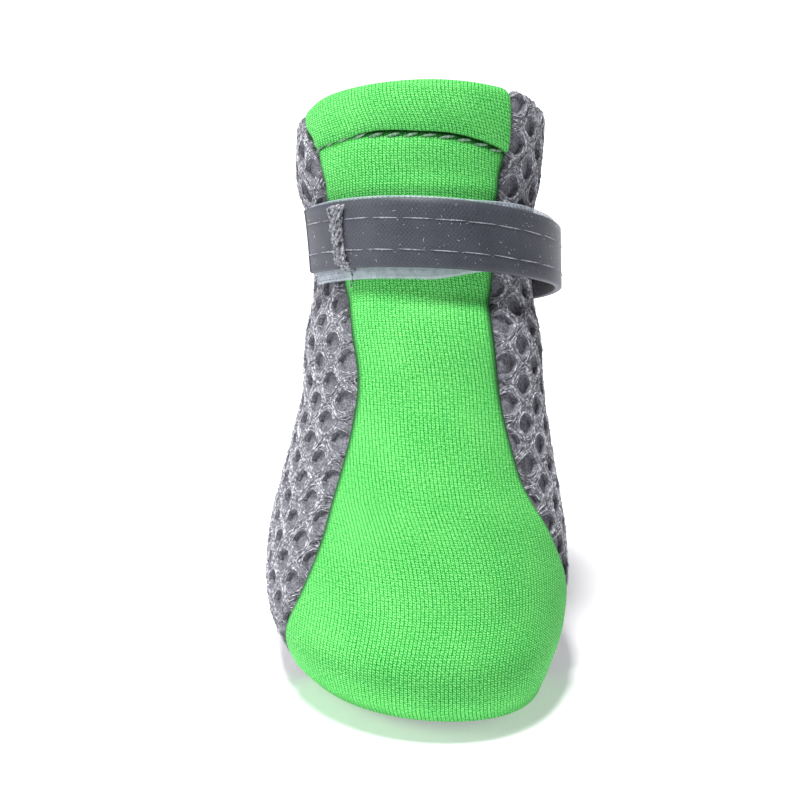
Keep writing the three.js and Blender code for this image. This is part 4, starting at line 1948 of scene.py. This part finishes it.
    def lint_flecks(self) -> None:
        """Short bits of lint that cling to the strap."""
        random = np.random.default_rng(17)
        level = self.path.outer() + 0.1
        angle = np.radians(random.uniform(self.path.free_end + 2, self.path.sewn_end - 4, self.lint_count))
        across = random.uniform(0.05, 0.95, self.lint_count)
        seat = self.path.on_strap(across, angle, level)
        up = unit(self.path.on_strap(across + self.aside, angle, level) - seat)
        side = unit(self.path.on_strap(across, angle + self.aside, level) - seat)
        spin = random.uniform(0, math.pi, self.lint_count)[:, None]
        size = random.uniform(0.3, 0.75, (self.lint_count, 1)) ** 2 * np.ones(3)
        along = unit(side * np.cos(spin) + up * np.sin(spin))
        places = Places(seat, along, unit(np.cross(side, up)), size)
        bent = np.array([[-0.45, 0, 0], [-0.15, 0.08, 0.03], [0.2, 0.02, 0.04], [0.45, -0.1, 0.0]])
        shape = tube(bent, 0.05, 3)
        flecks = Repeat("strap_lint", shape, self.lint.material(), 51, 0.2, 0.0).make(places)
        declare(flecks, Slot.STRAP)

    def build(self) -> None:
        """Builds and dresses the fastening."""
        self.hook_tape()
        self.strap()
        self.thread_rows()
        self.hook_rows()
        self.lint_flecks()


@dataclass
class Keeper:
    """The fuzzy yarn bar that crosses the strap, with the loose end below it."""

    path: StrapPath
    angle: float = -49.0  # degrees
    height: float = 8.5  # its middle's height, in sections
    top_width: float = 2.3
    foot_width: float = 1.3
    waist: float = 0.5  # how much narrower its middle is
    strands: int = 7
    strand_points: int = 26
    twists: float = 0.9
    strand_radius: float = 0.3
    end_radius: float = 0.1  # of the loose end
    sides: int = 8
    girth: float = 16.0  # mm to one radian round the shaft
    ends: float = 0.13  # share of its length over which each end dips to the mesh
    end_lift: float = 0.5  # mm off the skin there
    top_end: float = 0.96  # its ends' places across the strap, from 0 at the lower edge
    foot_end: float = -0.03
    fuzz_count: int = 620
    yarn: SewingThread = SewingThread("spun grey yarn", "#3C3C44", "#C4C4CE", scale=2000.0)

    def strand(self, number: int, random: np.random.Generator) -> Array:
        """The middle line of one strand, from the strap's upper edge to below it.

        Args:
            number: the strand's number.
            random: the draws for its unevenness.

        Returns:
            The points in mm.
        """
        count = self.strand_points
        t = np.linspace(0.0, 1.0, count)
        across = self.top_end + (self.foot_end - self.top_end) * t
        width = self.top_width + (self.foot_width - self.top_width) * t - self.waist * np.sin(t * math.pi)
        twist = 2 * math.pi * (number / self.strands + self.twists * t)
        side = 0.5 * width * np.cos(twist) + random.normal(0, 0.06, count)
        turn = math.radians(self.angle) + side / self.girth - 0.03 * np.sin(t * math.pi)
        lift = np.sin(np.clip(np.minimum(t, 1 - t) / self.ends, 0.0, 1.0) * math.pi / 2)
        crown = self.path.outer() + 0.42 + 0.28 * np.sin(twist) + random.normal(0, 0.05, count)
        return self.path.on_strap(across, turn, self.end_lift + (crown - self.end_lift) * lift)

    def build(self) -> None:
        """Builds and dresses the keeper."""
        random = np.random.default_rng(23)
        material = self.yarn.material()
        lines = [self.strand(number, random) for number in range(self.strands)]
        start = self.path.on_strap(np.array([-0.05]), np.radians([self.angle + 1.0]), 1.3)[0]
        fall = np.linspace(0.0, 1.0, 10)[:, None]
        drop = start + fall * np.array([0.35, -0.35, -2.3]) + np.sin(fall * 5) * np.array([0.16, 0.0, 0.0])
        points, faces = [], []
        for line, radius in [(line, self.strand_radius) for line in lines] + [(drop, self.end_radius)]:
            start_at = sum(len(part) for part in points)
            tube_points, tube_faces = tube(line, radius, self.sides)
            points.append(tube_points)
            faces += [tuple(k + start_at for k in face) for face in tube_faces]
        piece = make_piece("keeper", np.concatenate(points), faces, [material])
        declare(piece, Slot.KEEPER, "keeper")
        self.fuzz(lines, random, material)

    def fuzz(self, lines: list[Array], random: np.random.Generator, material: Material) -> None:
        """Short fibres that stand out of the yarn.

        Args:
            lines: the strands' middle lines.
            random: the draws for the fibres.
            material: the yarn's finish.
        """
        path = np.concatenate(lines)
        count = self.fuzz_count
        pick = random.integers(0, len(path), count)
        out = self.path.surface.normal(np.full(count, self.height), np.full(count, math.radians(self.angle)))
        away = unit(out + random.normal(0, 0.6, (count, 3)))
        side = unit(random.normal(0, 1, (count, 3)))
        points = path[pick] + away * self.strand_radius * 0.9
        size = random.uniform(0.5, 1.3, (count, 1)) * np.ones(3)
        hair = np.array([[-0.3, 0, -0.05], [-0.1, 0.05, 0.1], [0.15, 0.0, 0.14], [0.35, -0.05, 0.05]])
        shape = tube(hair, np.array([0.035, 0.035, 0.03, 0.02]), 3)
        fibres = Repeat("keeper_fuzz", shape, material, 61, 0.2, 0.3).make(Places(points, side, away, size))
        declare(fibres, Slot.KEEPER)


@dataclass
class Sole:
    """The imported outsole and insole, which keep their shape and get their finishes here."""

    rubber: MouldedRubber = MouldedRubber()
    felt: InsoleFelt = InsoleFelt()

    def build(self) -> None:
        """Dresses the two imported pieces."""
        for node, finish in (("outsole", self.rubber), ("insole", self.felt)):
            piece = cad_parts[node]
            material = finish.material()
            for slot in piece.material_slots:
                slot.material = material
            LOG.info("%s: kept from the frame", node)


# ------ studio
@dataclass(frozen=True)
class SoftBox:
    """One soft light, aimed at the boot."""

    name: str
    place: tuple[float, float, float]  # metres
    size: float
    power: float
    aim: tuple[float, float, float] = (0.0, 0.005, 0.04)

    def build(self) -> None:
        """Adds the light."""
        light = bpy.data.lights.new(self.name, "AREA")
        light.shape = "SQUARE"
        light.size = self.size
        light.energy = self.power
        lamp = bpy.data.objects.new(self.name, light)
        lamp.location = self.place
        lamp.rotation_euler = (Vector(self.place) - Vector(self.aim)).to_track_quat("Z", "Y").to_euler()
        bpy.context.scene.collection.objects.link(lamp)


@dataclass(frozen=True)
class Studio:
    """A pale floor, soft lights and the camera in front of the boot."""

    aim: tuple[float, float, float] = (0.0, 4.0, 38.0)  # mm
    distance: float = 350.0
    azimuth: float = -6.0  # degrees
    elevation: float = 22.0
    roll: float = 3.44
    lens: float = 110.6
    clip_start: float = 0.01  # metres
    shift: tuple[float, float] = (-0.027, -0.0176)
    floor_size: float = 6.0  # metres
    sky: float = 0.1
    sky_colour: str = "#F6F7FA"
    acrylic: OpalAcrylic = OpalAcrylic()
    lights: tuple[SoftBox, ...] = (
        SoftBox("key", (-0.2, 0.04, 1.12), 0.26, 18.4),
        SoftBox("front", (-0.3, -1.15, 0.5), 0.9, 0.7),
        SoftBox("left", (-1.05, -0.2, 0.5), 0.7, 4.6),
    )

    def camera(self) -> None:
        """Creates the camera, turned and rolled about its aim."""
        azimuth, elevation = math.radians(self.azimuth), math.radians(self.elevation)
        level = math.cos(elevation)
        back = Vector((math.sin(azimuth) * level, -math.cos(azimuth) * level, math.sin(elevation)))
        right = Vector((0, 0, 1)).cross(back).normalized()
        up = back.cross(right)
        roll = math.radians(self.roll)
        turned_right = right * math.cos(roll) + up * math.sin(roll)
        turned_up = up * math.cos(roll) - right * math.sin(roll)
        data = bpy.data.cameras.new("camera")
        data.lens = self.lens
        data.shift_x, data.shift_y = self.shift
        data.clip_start = self.clip_start
        camera = bpy.data.objects.new("camera", data)
        place = (Vector(self.aim) + back * self.distance) * MM
        axes = Matrix((turned_right, turned_up, back)).transposed().to_4x4()
        camera.matrix_world = Matrix.Translation(place) @ axes
        bpy.context.scene.collection.objects.link(camera)
        bpy.context.scene.camera = camera

    def build(self) -> None:
        """Sets the stage."""
        half = self.floor_size / 2 / MM
        corners = np.array([[-half, -half, 0], [half, -half, 0], [half, half, 0], [-half, half, 0]])
        floor = make_piece("floor", corners, [(0, 1, 2, 3)], [self.acrylic.material()])
        world = bpy.data.worlds.new("studio")
        world.use_nodes = True
        background = world.node_tree.nodes["Background"]
        background.inputs["Color"].default_value = srgb(self.sky_colour)
        background.inputs["Strength"].default_value = self.sky
        bpy.context.scene.world = world
        bpy.context.scene.view_settings.view_transform = "Standard"
        for light in self.lights:
            light.build()
        self.camera()


def main() -> None:
    """Builds the boot's pieces in order, then the studio."""
    logging.basicConfig(level=logging.INFO, format="%(name)s %(message)s")
    surface = BootSurface()
    outline = FrontOutline()
    path = StrapPath(surface)
    FrontPanel(surface, outline).build()
    AirMeshPanel(surface, outline).build()
    Lining(surface).build()
    Fastening(path).build()
    Keeper(path).build()
    Sole().build()
    Studio().build()


if __name__ == "__main__":
    main()
